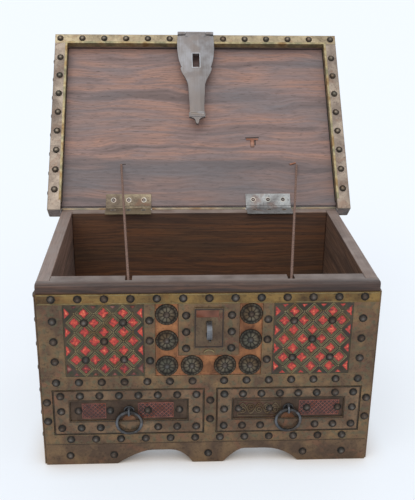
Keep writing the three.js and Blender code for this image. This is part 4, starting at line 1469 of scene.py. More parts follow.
@dataclass
class PiercedPanel:
    """A pierced sheet over red foil: staggered diamonds with a raised line round each."""

    word: str
    dull_rows: tuple[int, ...] = ()
    pitch: float = 22.6
    row: float = 12.2
    hole: float = 0.55
    border: float = 1.5
    line: float = 0.75
    line_height: float = 0.55
    outer_line: float = 0.84
    outer_height: float = 0.4
    blind: float = 0.58
    overlap: float = 0.06
    margin: float = 1.8
    smallest: float = 2.0
    boss: float = 1.3
    dome: float = 1.1
    stray: float = 0.9
    fading: float = 0.3
    proud: float = 0.1
    most: tuple[int, int] = (5, 4)

    def build(self, stock: Stock) -> None:
        """Dresses the sheet and its foil, and makes the lines, the foil's domes and the bosses.

        Args:
            stock: the finishes.
        """
        f = stock.finishes
        word = self.word
        stock.dress(f.lattice_brass, f"{word}_lattice")
        stock.dress(f.red_foil, f"{word}_red_ground")
        stock.piece(f"{word}_lattice_lines", self.lines(), f.lattice_line, "case")
        stock.piece(f"{word}_lattice_domes", self.domes(), f.domed_foil, "case")
        bright = self.blind_diamonds(False)
        stock.piece(f"{word}_edge_diamonds", bright, f.domed_foil, "case")
        if self.dull_rows:
            dull = self.blind_diamonds(True)
            stock.piece(f"{word}_dull_diamonds", dull, f.traced_rose, "case")

    def face(self) -> tuple[Array, Array]:
        """The panel's lowest and highest corners, with Y at the sheet's face.

        Returns:
            The two corners.
        """
        low, high = corners(f"{self.word}_lattice")
        low[1] = high[1] = low[1] + NailHead.frame_height
        return low, high

    def grid(self) -> tuple[Array, Array]:
        """Every diamond centre of the staggered pattern, and whether it is pierced.

        Returns:
            Across and up from the panel's middle, and a mark for each.
        """
        low, high = self.face()
        rows, columns = (np.arange(-count, count + 1) for count in self.most)
        rows = rows[:, None]
        across = columns * self.pitch + np.where(rows % 2 == 0, self.pitch / 2, 0)
        up = rows * self.row + 0 * across
        centres = np.stack([across, up], axis=-1).reshape(-1, 2)
        half = (high - low)[[0, 2]] / 2
        reach = np.array([self.pitch / 2, self.row]) * self.hole + self.border + 1
        open_ = np.all(np.abs(centres) + reach < half, axis=1)
        return centres, open_

    def diamond(self, share: float) -> Array:
        """A diamond's corners, as a share of the whole cell, counter-clockwise."""
        wide, tall = self.pitch / 2 * share, self.row * share
        return np.array([(wide, 0), (0, tall), (-wide, 0), (0, -tall)])

    def on_face(self, surface: Surface, places: Array, proud: float = 0.0) -> Surface:
        """Copies work to places on the sheet.

        Args:
            surface: the work, drawn about its own middle.
            places: across and up of each copy from the panel's middle.
            proud: how far out from the face the work is set.

        Returns:
            The copies.
        """
        low, high = self.face()
        origins = np.stack([places[:, 0], 0 * places[:, 0], places[:, 1]], axis=1)
        return surface.placed(origins + (low + high) / 2 + FRONT * proud, facing(FRONT))

    def lines(self) -> Surface:
        """Two raised lines round each opening, and a small boss at each free crossing.

        Returns:
            The lines and the bosses.
        """
        low, high = self.face()
        centres, open_ = self.grid()
        clear, border, near = 0.04, 3, 1
        edge = self.hole + self.overlap + clear
        inner = bead(self.diamond(edge), half_round(self.line, self.line_height), True)
        outer = bead(self.diamond(self.outer_line), half_round(self.line, self.outer_height), True)
        holes = centres[open_]
        crossings = np.unique(np.round(np.concatenate([
            holes + (self.pitch / 2, 0), holes - (self.pitch / 2, 0),
        ]), 2), axis=0)
        inside = np.all(np.abs(crossings) < (high - low)[[0, 2]] / 2 - border, axis=1)
        nailed = np.all(np.abs(crossings) < near, axis=1)
        nailed |= np.all(np.abs(np.abs(crossings) - (self.pitch, self.row * 2)) < near, axis=1)
        stud = turned([
            (0, -0.2, 0), (self.boss, -0.2, 0.1), (self.boss * 0.8, 0.5, 0.5), (0, 0.8, 1),
        ], 8)
        return joined([
            self.on_face(inner, holes), self.on_face(outer, holes),
            self.on_face(stud, crossings[inside & ~nailed]),
        ])

    def domes(self) -> Surface:
        """The foil's bulge in each opening: a low pyramid, its crest moved about at random.

        Returns:
            The bulges.
        """
        centres, open_ = self.grid()
        random = np.random.default_rng(SEED)
        made = []
        for hole in centres[open_]:
            shift = random.uniform(-self.stray, self.stray, 2)
            share = self.hole + self.overlap * random.uniform(-0.5, 1.0)
            bulge = self.pyramid(self.diamond(share), shift)
            if self.in_dull_row(hole):
                bulge.wear_and_light = bulge.wear_and_light - self.fading
            made.append(self.on_face(bulge, hole[None], self.proud))
        return joined(made)

    def pyramid(self, outline: Array, shift: Array) -> Surface:
        """A low dome over an outline: two rings of it shrunk toward a shifted crest.

        Args:
            outline: across and up of each corner, counter-clockwise.
            shift: how far the crest lies from the outline's middle.

        Returns:
            The dome, closed underneath.
        """
        count = len(outline)
        middle = outline.mean(axis=0)
        foot, dome = -0.5, self.dome
        # Each ring's third value is its level of painted light: low at the foot as painted shade, high
        # toward the crest as painted highlight.
        rings = ((1.0, foot, 0.1), (1.0, 0.0, 0.2), (0.62, dome * 0.75, 0.45), (0.28, dome, 0.6))
        points = np.concatenate([
            np.column_stack([
                middle + (outline - middle) * share + shift * (1 - share), np.full(count, height),
            ]) for share, height, rubbed in rings
        ])
        poles = np.array([(*middle, foot), (*(middle + shift), dome * 1.05)])
        wear_and_light = np.append(np.repeat([rubbed for share, height, rubbed in rings], count), [0.0, 0.7])
        return capped(points, count, poles, wear_and_light)

    def clipped(self, centre: Array, half: Array) -> Array:
        """A blind diamond's outline, cut off at the panel's border.

        Each side of the border is taken in turn: corners inside it stay, and where an edge
        crosses it the crossing takes the place of the corner outside.

        Args:
            centre: the diamond's middle.
            half: half the panel's width and height, less the margin.

        Returns:
            The corners about the diamond's own middle, counter-clockwise; none if too small.
        """
        outline = self.diamond(self.blind) + centre
        none = np.zeros((0, 2))
        for axis, side in ((0, -1), (0, 1), (1, -1), (1, 1)):
            before = np.roll(outline, 1, axis=0)
            inside = side * outline[:, axis] <= half[axis]
            edge = outline - before
            run = np.where(edge[:, [axis]] == 0, 1, edge[:, [axis]])
            crossing = before + edge * (side * half[axis] - before[:, [axis]]) / run
            kept = np.stack([np.roll(inside, 1) != inside, inside], axis=1)
            outline = np.stack([crossing, outline], axis=1)[kept]
            if len(outline) < 3:
                return none
        size = outline.max(axis=0) - outline.min(axis=0)
        return outline - centre if size.min() > self.smallest else none

    def blind_diamonds(self, dull: bool) -> Surface:
        """Lacquered diamonds laid on the sheet where the border leaves no room to pierce it.

        Args:
            dull: whether to give those of the dull rows, or the others.

        Returns:
            The diamonds.
        """
        low, high = self.face()
        centres, open_ = self.grid()
        half = (high - low)[[0, 2]] / 2 - self.margin
        made = []
        for centre in centres[~open_]:
            outline = self.clipped(centre, half)
            if len(outline) and self.in_dull_row(centre) == dull:
                low_dome = self.pyramid(outline, np.zeros(2))
                low_dome.points[:, 2] *= 0.5
                made.append(self.on_face(low_dome, centre[None]))
        return joined(made)

    def in_dull_row(self, centre: Array) -> bool:
        """Whether a diamond lies in one of the rows whose lacquer has faded."""
        return round(centre[1] / self.row) in self.dull_rows


@dataclass
class RosetteBand:
    """The copper band of embossed rosettes that runs down, under and up again round the lock."""

    width: float = 27.0
    gap: float = 33.0
    under_lock: float = 0.4
    petals: int = 10
    flower: float = 9.8
    rim: float = 13.3
    petal_rise: float = 1.15
    rim_rise: float = 0.75
    beads: int = 20
    frame_flower: float = 1.0
    line_inset: float = 1.1
    line: tuple[float, float] = (0.8, 0.5)

    def places(self) -> Array:
        """The rosettes' centres on the band's face, counted out as the frame's are.

        Returns:
            The centres.
        """
        low, high = corners("rosette_band")
        face = low[1] + NailHead.frame_height + self.frame_flower
        column = high[0] - self.width / 2
        low_z = low[2] + self.width / 2
        top_z = high[2] - self.width / 2
        steps = max(1, round((top_z - low_z) / self.gap)) + 1
        up = np.linspace(low_z, top_z, steps)
        sides = [(side * column, face, z) for side in (-1, 1) for z in up]
        under = [(side * column * self.under_lock, face, low_z) for side in (-1, 1)]
        return np.array(sides + under)

    def rosette(self) -> Surface:
        """An embossed rosette as a height over radius and angle.

        Within the flower the height is a half sine along the radius, raised where the cosine of
        the petals' angle is large. Outside it a half-sine rim is broken by fine radial beads.

        Returns:
            The relief, closed over its middle and under its edge.
        """
        sides = 120
        foot, ground, heart, ditch = -0.2, 1.1, 1.5, 10.2
        radius = np.array([
            13.4, 13.4, 13.2, 12.6, 11.8, 11.0, 10.4, 9.8, 9.4, 8.6, 7.4, 6.0, 4.6, 3.2, heart,
        ])
        angle = np.arange(sides) * 2 * np.pi / sides
        r, a = np.meshgrid(radius, angle, indexing="ij")
        petal = np.abs(np.cos(self.petals / 2 * a)) ** 0.55
        along = np.sin(np.pi * np.clip((r - heart) / (self.flower - 1.2), 0, 1)) ** 0.7
        flower = ground + self.petal_rise * along * (0.2 + 0.8 * petal)
        across = np.clip((r - ditch) / (self.rim - ditch), 0, 1)
        beads = 0.72 + 0.28 * np.cos(self.beads * a)
        rim = ground + self.rim_rise * np.sin(np.pi * across) * beads
        height = np.where(r < self.flower + 0.3, flower, rim)
        height[:2] = [[foot], [0.8]]
        # Raised relief gets a higher level, so it comes out lighter, as rubbing and as painted
        # highlight.
        wear_and_light = np.clip((height - ground) / ground, 0, 1)
        rings = np.stack([r * np.cos(a), r * np.sin(a), height], axis=-1).reshape(-1, 3)
        poles = np.array([[0, 0, foot], [0, 0, ground]])
        return capped(rings, sides, poles, np.append(wear_and_light, [0, 0]))

    def build(self, stock: Stock) -> None:
        """Dresses the band, lays the rosettes on it and drives their nails.

        Args:
            stock: the finishes.
        """
        f = stock.finishes
        stock.dress(f.copper, "rosette_band")
        places = self.places()
        stock.piece(
            "band_rosettes", self.rosette().placed(places, facing(FRONT)), f.rosette_metal,
            "case", sharp=60,
        )
        NailHead().drive(stock, "rosette_nails", [("rosette_band", FRONT)])
        stock.piece("band_lines", self.lines(), f.traced_copper, "case")

    def lines(self) -> Surface:
        """Raised lines just inside the band's outer and inner edges.

        Returns:
            The lines.
        """
        low, high = corners("rosette_band")
        face = low[1] + NailHead.frame_height + self.frame_flower
        out, foot, top = high[0] - self.line_inset, low[2] + self.line_inset, high[2] - 0.5
        inner = high[0] - self.width + self.line_inset
        shelf = low[2] + self.width - self.line_inset
        section = half_round(*self.line)
        paths = (
            [(-out, top), (-out, foot), (out, foot), (out, top)],
            [(-inner, top), (-inner, shelf), (inner, shelf), (inner, top)],
        )
        return on_front(joined(bead(np.array(path), section) for path in paths), face)


@dataclass
class LockPlate:
    """The plate over the lock, its border line, its coppery upper part and the hasp's staple."""

    border_inset: float = 1.4
    border_width: float = 1.4
    trim_height: float = 0.5
    cap_height: float = 9.0
    cap_share: float = 0.82
    lip_reach: tuple[float, float] = (6.2, 5.0)
    peg_drop: float = 4.2
    lip_lift: float = 2.2

    def build(self, stock: Stock) -> None:
        """Dresses the plate and the staple, and makes the plate's trim.

        Args:
            stock: the finishes.
        """
        f = stock.finishes
        stock.dress(f.lock_brass, "lock_plate")
        stock.dress(f.staple_iron, "hasp_staple")
        low, high = corners("lock_plate")
        inset = self.border_inset
        border = bead(
            rectangle(low[0] + inset, high[0] - inset, low[2] + inset, high[2] - inset),
            half_round(self.border_width, self.trim_height), True,
        )
        cap_z = high[2] - inset * 2 - self.cap_height / 2
        cap_end = low[0] + (high[0] - low[0]) * self.cap_share
        cap = bead(
            np.array([(low[0] + inset * 2, cap_z), (cap_end, cap_z)]),
            square_round(self.cap_height, self.trim_height),
        )
        for name, trim, finish in (
            ("lock_plate_border", border, f.dark_joint_and_shadow), ("lock_plate_patch", cap, f.patch_copper),
        ):
            stock.piece(name, on_front(trim, low[1]), finish, "case")
        self.spur(stock, low)

    def spur(self, stock: Stock, low: Array) -> None:
        """A peg under the staple, and the curved lip of the plate's lower nail.

        Args:
            stock: the finishes.
            low: the plate's lowest corner.
        """
        f = stock.finishes
        staple_low, staple_high = corners("hasp_staple")
        middle = (staple_low[0] + staple_high[0]) / 2
        peg = turned([
            (0, -0.3, 0), (1.5, -0.3, 0), (1.5, 2.6, 0.4), (0.9, 3.6, 0.9), (0, 3.9, 1),
        ], 12)
        place = np.array([middle + 1, low[1], staple_low[2] - self.peg_drop])
        stock.piece(
            "lock_peg", peg.placed(place, facing(FRONT)), f.iron_nail, "case",
        )
        arc = np.linspace(0.06 * np.pi, 0.94 * np.pi, 14)
        lip = np.stack([np.cos(arc), np.sin(arc)], axis=1) * self.lip_reach
        surround = corners("lock_surround")[0]
        face = surround[1] + NailHead.frame_height
        foot = np.array([middle + 0.5, face, surround[2] + self.lip_lift])
        stock.piece(
            "lock_lip", bead(lip, half_round(1.8, 1.1)).placed(foot, facing(FRONT)),
            f.traced_brass, "case",
        )


@dataclass
class SideSheets:
    """The plain nailed brass sheets over the case's two sides."""

    def build(self, stock: Stock) -> None:
        """Dresses both sheets and drives their nails.

        Args:
            stock: the finishes.
        """
        for word, outward in (("left", LEFT), ("right", RIGHT)):
            node = f"{word}_side_brass"
            stock.dress(stock.finishes.side_brass, node)
            NailHead().drive(stock, f"{word}_side_nails", [(node, outward)])


class Motif(Enum):
    """What fills one half of a drawer's sunk panel."""

    GRILLE = "grille"
    VINE = "vine"


@dataclass
class Drawer:
    """A drawer: its front, brass, sunk panel, ring pull and wooden box."""

    word: str
    motifs: tuple[Motif, Motif]
    spans: tuple[tuple[float, float], tuple[float, float]]
    edge_room: float = 3.4
    mesh: float = 5.2
    rib: float = 0.9
    rib_height: float = 0.6
    foil_height: float = 0.15
    foil_foot: float = 0.1
    stem_line: tuple[float, float] = (2.1, 0.9)
    curl_line: tuple[float, float] = (1.7, 0.8)
    frame_line: float = 1.6
    frame_reach: float = 1.2
    outline: float = 1.7
    ring_radius: float = 15.0
    ring_wire: float = 2.0
    eye_plate: float = 6.5
    eye_loop: float = 4.0
    eye_wire: float = 1.4
    patch: float = 8.6

    @property
    def body(self) -> str:
        """The body that the drawer's pieces move with."""
        return f"{self.word}_drawer"

    def build(self, stock: Stock) -> None:
        """Dresses the drawer and makes its nails, panel work, frame lines, eye and ring.

        Args:
            stock: the finishes.
        """
        f = stock.finishes
        word = self.word
        stock.dress(f.drawer_wood, *(
            f"{word}_drawer_{part}"
            for part in ("front", "left_wall", "right_wall", "back", "bottom")
        ))
        stock.dress(f.drawer_brass, f"{word}_drawer_brass")
        stock.dress(f.sunk_brass, f"{word}_drawer_inlay")
        NailHead().drive(stock, f"{word}_drawer_nails", (
            (f"{word}_drawer_{part}", FRONT) for part in ("brass", "inlay")
        ), self.body)
        for place, motif in zip(("left", "right"), self.motifs):
            finish = f.rose_rib if motif is Motif.GRILLE else f.carved_brass
            stock.piece(
                f"{word}_drawer_{place}_{motif.value}", self.half(place, motif), finish,
                self.body,
            )
            if motif is Motif.GRILLE:
                stock.piece(
                    f"{word}_drawer_{place}_foil", self.foil(place), f.drawer_foil,
                    self.body,
                )
        stock.piece(
            f"{word}_drawer_frame_lines", self.frame_lines(), f.shadow_line,
            self.body,
        )
        self.pull(stock)

    def foil(self, place: str) -> Surface:
        """A thin red sheet under one half's grille.

        Args:
            place: left or right.

        Returns:
            The sheet.
        """
        x0, x1, z0, z1, face = self.room(place)
        middle = (z0 + z1) / 2
        section = square_round(z1 - z0, self.foil_height, self.foil_foot)
        return on_front(bead(np.array([(x0, middle), (x1, middle)]), section), face)

    def half(self, place: str, motif: Motif) -> Surface:
        """The work in one half of the sunk panel.

        Args:
            place: left or right.
            motif: what fills it.

        Returns:
            The raised work.
        """
        *area, face = self.room(place)
        work = self.grille if motif is Motif.GRILLE else self.vine
        return on_front(work(area), face)

    def room(self, place: str) -> tuple[float, float, float, float, float]:
        """The room for the work in one half of the sunk panel.

        Args:
            place: left or right.

        Returns:
            Its left and right end, its lower and upper edge, and its face.
        """
        low, high = corners(f"{self.word}_drawer_inlay")
        x0, x1 = low[0] + (high[0] - low[0]) * np.array(self.spans[place == "right"])
        face = low[1] + NailHead.frame_height
        return x0, x1, low[2] + self.edge_room, high[2] - self.edge_room, face

    def grille(self, area: tuple[float, ...]) -> Surface:
        """Crossing ribs at 45 degrees, each cut off where it meets the panel's edge.

        A rib that rises to the right keeps across minus up the same along its length, and one
        that falls keeps across plus up.

        Args:
            area: its left and right end, and its lower and upper edge.

        Returns:
            The ribs and the line round them.
        """
        x0, x1, z0, z1 = area
        section = half_round(self.rib, self.rib_height)
        ribs = []
        for slope in (1, -1):
            starts = np.arange(x0 - (z1 - z0), x1 + (z1 - z0), self.mesh)
            for start in starts:
                foot = start if slope > 0 else start + (z1 - z0)
                enter = np.clip(sorted(((x0 - foot) * slope, (x1 - foot) * slope)), 0, z1 - z0)
                if enter[1] - enter[0] < self.rib:
                    continue
                path = np.stack([foot + slope * enter, z0 + enter], axis=1)
                ribs.append(bead(path, section))
        ribs.append(self.edging(*area))
        return joined(ribs)

    def edging(self, x0: float, x1: float, z0: float, z1: float) -> Surface:
        """The flat line round a half's work."""
        return bead(rectangle(x0, x1, z0, z1), square_round(self.rib, self.rib_height), True)

    def vine(self, area: tuple[float, ...]) -> Surface:
        """A carved vine: a wavy stem with a curl and a leaf in each bend.

        The stem's height is a sine of the way across. Each curl's radius shrinks evenly as it
        turns, and each leaf is a long closed loop.

        Args:
            area: its left and right end, and its lower and upper edge.

        Returns:
            The vine as raised lines.
        """
        x0, x1, z0, z1 = area
        bends, margin, half_turns, shrink = 5, 3.2, 3.4, 0.78
        middle = (z0 + z1) / 2
        rise = (z1 - z0) / 2 - margin
        across = np.linspace(0, 1, 60)
        stem = np.stack([
            x0 + (x1 - x0) * across, middle + rise * np.sin(across * bends * np.pi),
        ], axis=1)
        made = [bead(stem, half_round(*self.stem_line))]
        turn = np.linspace(0, 1, 24)
        for k in range(bends):
            side = 1 if k % 2 == 0 else -1
            centre = np.array([x0 + (x1 - x0) * (k + 0.5) / bends, middle - side * rise * 0.25])
            radius = (z1 - z0) * 0.27 * (1 - shrink * turn)
            angle = side * (np.pi / 2 + turn * half_turns * np.pi)
            curl = centre + np.stack([radius * np.cos(angle), radius * np.sin(angle)], axis=1)
            made.append(bead(curl, half_round(*self.curl_line)))
        made.append(self.edging(x0 - 1, x1 + 1, z0, z1))
        return joined(made)

    def frame_lines(self) -> Surface:
        """The moulding round the sunk panel, and a line near the brass's outer edge, both dark as
        painted shadow.

        Returns:
            Both, on the face of the brass.
        """
        lines = []
        # Both lines are dark as painted shadow: one round the sunk panel's edge, one for the gap round
        # the drawer.
        for part, reach, section in (
            ("inlay", self.frame_reach, square_round(self.frame_line, 0.7)),
            ("brass", -self.outline / 2, half_round(self.outline, 0.4)),
        ):
            low, high = corners(f"{self.word}_drawer_{part}")
            path = rectangle(low[0] - reach, high[0] + reach, low[2] - reach, high[2] + reach)
            lines.append(bead(path, section, True))
        return on_front(joined(lines), low[1] + NailHead.frame_height)

    def pull(self, stock: Stock) -> None:
        """The eye and the ring that hangs in it, in place of the frame's plainer ones.

        The ring is a torus whose wire swells and thins a little on its way round, as a forged one
        does. The eye is a turned plate with a half torus standing on it.

        Args:
            stock: the finishes.
        """
        f = stock.finishes
        word = self.word
        low, high = corners(f"{word}_ring")
        centre = (low + high) / 2
        rings, sides = 64, 14
        u, v = np.meshgrid(
            np.arange(rings) * 2 * np.pi / rings, np.arange(sides) * 2 * np.pi / sides,
            indexing="ij",
        )
        wire = self.ring_wire * (0.95 + 0.05 * np.cos(3 * u + 1))
        reach = self.ring_radius + wire * np.cos(v)
        torus = np.stack([
            centre[0] + reach * np.cos(u), centre[1] + wire * np.sin(v),
            centre[2] + reach * np.sin(u),
        ], axis=-1).reshape(-1, 3)
        # The front of the wire is lighter, as rubbing and as a painted highlight, and the level varies
        # round the ring.
        rubbed = 0.35 + 0.4 * np.clip(-np.sin(v), 0, 1) + 0.2 * np.cos(2 * u)
        ring = stock.piece(
            f"{word}_forged_ring",
            Surface(torus, rubbed.ravel(), grid_quads(rings, sides, True, True)[:, ::-1]),
            f.dark_iron, f"{word}_ring",
        )
        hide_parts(f"{word}_ring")
        self.eye(stock)

    def eye(self, stock: Stock) -> None:
        """The ring's eye, and the patch of brass that the ring has rubbed bare.

        Args:
            stock: the finishes.
        """
        f = stock.finishes
        low, high = corners(f"{self.word}_ring_eye")
        rim, loop, wire, patch = self.eye_plate, self.eye_loop, self.eye_wire, self.patch
        plate = turned([
            (0, 0.0, 0), (rim, 0.0, 0.1), (rim, 0.9, 0.5), (rim * 0.86, 1.4, 0.7),
            (rim * 0.7, 1.15, 0.1), (rim * 0.5, 1.4, 0.5), (0, 1.45, 0.4),
        ], 28)
        back = np.array([(low[0] + high[0]) / 2, high[1], (low[2] + high[2]) / 2])
        spot = turned([(0, -0.1, 0), (patch, -0.1, 0.3), (patch - 0.2, 0.25, 0.6), (0, 0.3, 0.6)], 24)
        stock.piece(
            f"{self.word}_rubbed_patch", spot.placed(back - UP * self.ring_radius, facing(FRONT)),
            f.warm_patch, self.body,
        )
        turn = np.linspace(-0.5 * np.pi, 0.5 * np.pi, 22)
        out = high[1] - low[1] - loop - wire
        path = np.stack([
            np.zeros(len(turn) + 2),
            np.concatenate([[-0.9], -out - loop * np.cos(turn), [-0.9]]),
            np.concatenate([[-loop], loop * np.sin(turn), [loop]]),
        ], axis=1) + back
        eye = joined([
            plate.placed(back, facing(FRONT)),
            tube(path, np.full((len(path), 10), wire)),
        ])
        thing = stock.piece(
            f"{self.word}_turned_eye", eye, f.dark_iron, self.body,
        )
        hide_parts(f"{self.word}_ring_eye")


@dataclass
class ButtHinge:
    """A butt hinge: its two leaves, its pin and their screws."""

    word: str
    spread: float = 22.0
    lid_reach: float = 12.5
    case_reach: float = 9.5
    screw: float = 3.9
    leaf: float = 1.3
    over_board: float = 0.25
    over_pin: float = 0.15

    def build(self, stock: Stock) -> None:
        """Dresses the hinge and sets three screws in each leaf.

        Args:
            stock: the finishes.
        """
        f = stock.finishes
        metal = f.left_hinge_brass if self.word == "left" else f.right_hinge_brass
        nodes = [f"{self.word}_hinge_{part}" for part in ("case_leaf", "lid_leaf", "pin")]
        stock.dress(metal, *nodes)
        low, high = corners(nodes[0])
        across = (low[0] + high[0]) / 2 + np.array([-1, 0, 1]) * self.spread
        level = np.ones(3)
        case_top = corners("back_board")[1][2] + self.over_board + self.leaf
        case_places = np.stack([
            across, level * (LID.pin[1] - self.case_reach), level * case_top,
        ], axis=1)
        screws = self.screw_head()
        stock.piece(
            f"{self.word}_case_screws", screws.placed(case_places, facing(UP, BACK)),
            f.screw_metal, "case", sharp=30,
        )
        lid_under = LID.pin[2] + self.over_pin
        lid_places = LID.opened(np.stack([
            across, level * (LID.pin[1] - self.lid_reach), level * lid_under,
        ], axis=1))
        stock.piece(
            f"{self.word}_lid_screws", screws.placed(lid_places, LID.underside()),
            f.screw_metal, "lid", sharp=30,
        )

    def screw_head(self) -> Surface:
        """A countersunk head filed almost flush: a pale ring, a dark middle and a slot's lips.

        Returns:
            The head.
        """
        head = turned([
            (0, -0.3, 0), (self.screw, -0.3, 0.6), (self.screw, 0.07, 0.9),
            (self.screw * 0.74, 0.1, 0.9), (self.screw * 0.66, 0.02, 0.0),
            (self.screw * 0.5, 0.08, 0.0), (0, 0.1, 0.15),
        ], 20)
        lips = [
            bead(
                np.array([(-self.screw * 0.42, y), (self.screw * 0.42, y)]),
                half_round(0.7, 0.12),
            )
            for y in (-0.6, 0.6)
        ]
        return joined([head, *lips])


@dataclass
class Lid:
    """The lid: its boards, the brass wrapped over its edges, and the cords' fastenings."""

    corner: float = 0.8
    panel_over_pins: float = 1.7
    plug: tuple[float, float] = (81.9, 113.0)
    slit: tuple[float, float] = (-113.0, 71.0)
    tail: tuple[float, float] = (136.8, 146.0)
    tail_reach: float = 70.5
    back_line: float = 3.8
    back_drop: float = 0.8
    # Width of the dark line of painted shadow along the panel's inner corner.
    joint: float = 1.6
    stripe: float = 3.0
    turned_in: float = 10.0
    clearance: float = 1.2
    landing: float = 0.3
    from_pins: float = 8.0
    corner_wear: float = 0.65

    def build(self, stock: Stock) -> None:
        """Dresses the lid, drives its nails and makes its small fittings.

        Args:
            stock: the finishes.
        """
        f = stock.finishes
        stock.dress(f.lid_wood, "lid_panel", "lid_front_rail")
        stock.dress(f.rail_wood, "lid_left_rail", "lid_right_rail")
        brasses = ("lid_front_brass", "lid_left_brass", "lid_right_brass")
        stock.dress(f.lid_front, brasses[0])
        stock.dress(f.lid_brass, *brasses[1:])
        for node in ("lid_panel", "lid_left_rail", "lid_right_rail"):
            eased(node, self.corner)
        down, up = LID.direction(-UP), LID.direction(UP)
        NailHead().drive(stock, "lid_nails", [
            *((node, way) for node in brasses for way in (down, up)),
            *zip(brasses, (LID.direction(FRONT), LEFT, RIGHT)),
        ], "lid")
        self.fastenings(stock)

    def under(self, across: float, reach: float) -> Array:
        """A place on the panel's underside.

        Args:
            across: where it is along the lid.
            reach: how far it is from the hinge line.

        Returns:
            The place, with the lid open.
        """
        closed = (across, LID.pin[1] - reach, LID.pin[2] + self.panel_over_pins)
        return LID.opened(np.array(closed))

    def fastenings(self, stock: Stock) -> None:
        """A plug and a slit in the panel, and the pale line along its back edge.

        Args:
            stock: the finishes.
        """
        f = stock.finishes
        basis = LID.underside()
        cross = joined(
            bead(np.array(path, float), square_round(1.7, 0.35))
            for path in ([(-10.5, 2.6), (10.5, 3.2)], [(4.2, -10.0), (4.6, 2.4)])
        )
        slit = bead(np.array([(-4.0, 0.0), (4.0, 0.5)]), square_round(1.2, 0.3))
        dark = joined([
            cross.placed(self.under(*self.plug), basis),
            slit.placed(self.under(*self.slit), basis),
        ])
        stock.piece("panel_slits", dark, f.dark_joint_and_shadow, "lid")
        stub = joined([
            bead(np.array([(0.0, -13.0), (0.0, -1.5)]), half_round(6.0, 1.4)),
            bead(np.array([(-9.0, 0.0), (9.0, 0.0)]), half_round(3.0, 1.2)),
        ])
        tail = bead(np.array([(self.tail[0], 0.0), (self.tail[1], 2.5)]), half_round(2.8, 1.8))
        stock.piece(
            "panel_stub", stub.placed(self.under(*self.plug), basis), f.red_plug,
            "lid",
        )
        stock.piece(
            "cord_tail", tail.placed(self.under(0, self.tail_reach), basis), f.red_plug,
            "lid",
        )
        self.edge_lines(stock, basis)
        panel_low, panel_high = corners("lid_panel")
        ends = [corners("left_hinge_lid_leaf"), corners("right_hinge_lid_leaf")]
        spans = (
            (panel_low[0] + 1, ends[0][0][0] - 0.5), (ends[0][1][0] + 0.5, ends[1][0][0] - 0.5),
            (ends[1][1][0] + 0.5, panel_high[0] - 1),
        )
        line = joined(
            bead(np.array([(a, 0.0), (b, 0.0)]), half_round(self.back_line, 0.7))
            .placed(self.under(0, -self.back_drop), basis)
            for a, b in spans
        )
        stock.piece("lid_back_line", line, f.edge_brass, "lid")

    def edge_lines(self, stock: Stock, basis: Array) -> None:
        """The brass's bright rubbed inner corner, and a dark line of painted shadow where it meets the
        panel.

        The corner's section is an L: it lies on the lip's underside and turns up its inner face.

        Args:
            stock: the finishes.
            basis: across, up and outward on the lid's underside.
        """
        f = stock.finishes
        half = corners("right_side_board")[1][0] + self.clearance
        reach = LID.pin[1] - corners("front_board")[0][1] + self.clearance
        lip = corners("left_side_brass")[1][2] + self.landing
        thin, sunk, start = 0.2, -0.15, self.from_pins
        corner = np.array([
            (self.stripe, sunk), (self.stripe, thin), (-thin, thin), (-thin, -self.turned_in),
            (self.clearance, -self.turned_in), (self.clearance, sunk),
        ])
        inner = np.array([(-half, start), (-half, reach), (half, reach), (half, start)])
        bright = bead(inner, corner)
        bright.wear_and_light[:] = self.corner_wear
        origin = LID.opened(np.array([0.0, LID.pin[1], lip]))
        stock.piece(
            "lid_bright_corner", bright.placed(origin, basis), f.gold_edge, "lid",
        )
        # Painted shadow: a dark line on the panel along the lip's inner corner.
        joint = bead(inner, half_round(self.joint, 0.3)).placed(self.under(0, 0), basis)
        stock.piece("lid_corner_shadow", joint, f.dark_joint_and_shadow, "lid")


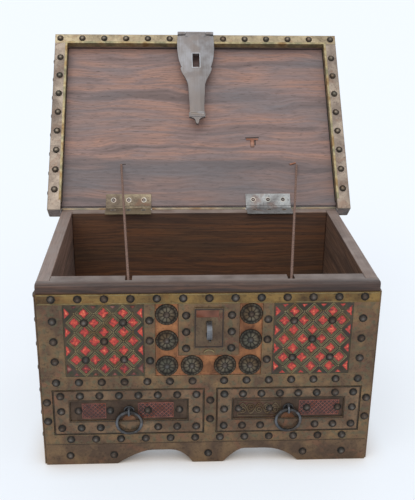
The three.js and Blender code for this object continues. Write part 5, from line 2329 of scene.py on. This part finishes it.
@dataclass
class Hasp:
    """The hasp, its strap and its pin, with a raised lip round the slot."""

    slot_wide: float = 11.0
    slot_from: float = 38.0
    slot_to: float = 62.5
    lip: float = 1.1
    lip_height: float = 0.45
    thick: float = 5.2
    over_pivot: float = 3.0
    collar_from: float = 142.2
    collar_to: float = 145.0
    collar_half: float = 10.0
    collar_line: float = 1.3

    def build(self, stock: Stock) -> None:
        """Dresses the hasp's three frame nodes and files the lip and the collar's lines.

        Args:
            stock: the finishes.
        """
        f = stock.finishes
        stock.dress(f.pale_iron, "hasp", "hasp_strap", "hasp_pin")
        eased("hasp", 0.6)
        pivot = next(np.array(j["pos_m"]) / MM for j in frame["joints"] if j["name"] == "hasp_hinge")
        closed_pivot = (pivot - LID.pin) @ LID.turn + LID.pin
        face = closed_pivot[2] + self.over_pivot - self.thick
        basis = LID.underside()
        origin = LID.opened(np.array([closed_pivot[0], closed_pivot[1], face]))
        half = self.slot_wide / 2 + self.lip / 2
        a, b = -self.slot_from + self.lip / 2, -self.slot_to - self.lip / 2
        lines = [bead(rectangle(-half, half, b, a), square_round(self.lip, self.lip_height), True)]
        for reach in (self.collar_from, self.collar_to):
            cross = np.array([(-self.collar_half, -reach), (self.collar_half, -reach)])
            lines.append(bead(cross, half_round(self.collar_line, self.collar_line)))
        stock.piece(
            "hasp_lines", joined(lines).placed(origin, basis), f.bright_iron, "hasp",
        )


def main() -> None:
    """Builds the chest in order, from the studio to its smallest fittings."""
    logging.basicConfig(level=logging.INFO, format="%(message)s")
    stock = Stock()
    Studio().build()
    for part in (
        StayCord("left", -93.5, -115.5, 70.7), StayCord("right", 97.0, 147.0, 69.5), Boards(),
        FrontSheets(), PiercedPanel("left", dull_rows=(-4, -3, 4, 5)), PiercedPanel("right"),
        ButtHinge("left"), ButtHinge("right"), RosetteBand(), LockPlate(), SideSheets(),
        Drawer("left", (Motif.GRILLE, Motif.GRILLE), ((0.1, 0.3), (0.58, 0.88))),
        Drawer("right", (Motif.VINE, Motif.GRILLE), ((0.05, 0.42), (0.6, 0.96))), Lid(), Hasp(),
    ):
        part.build(stock)
        log.info("built %s", part)


if __name__ == "__main__":
    main()
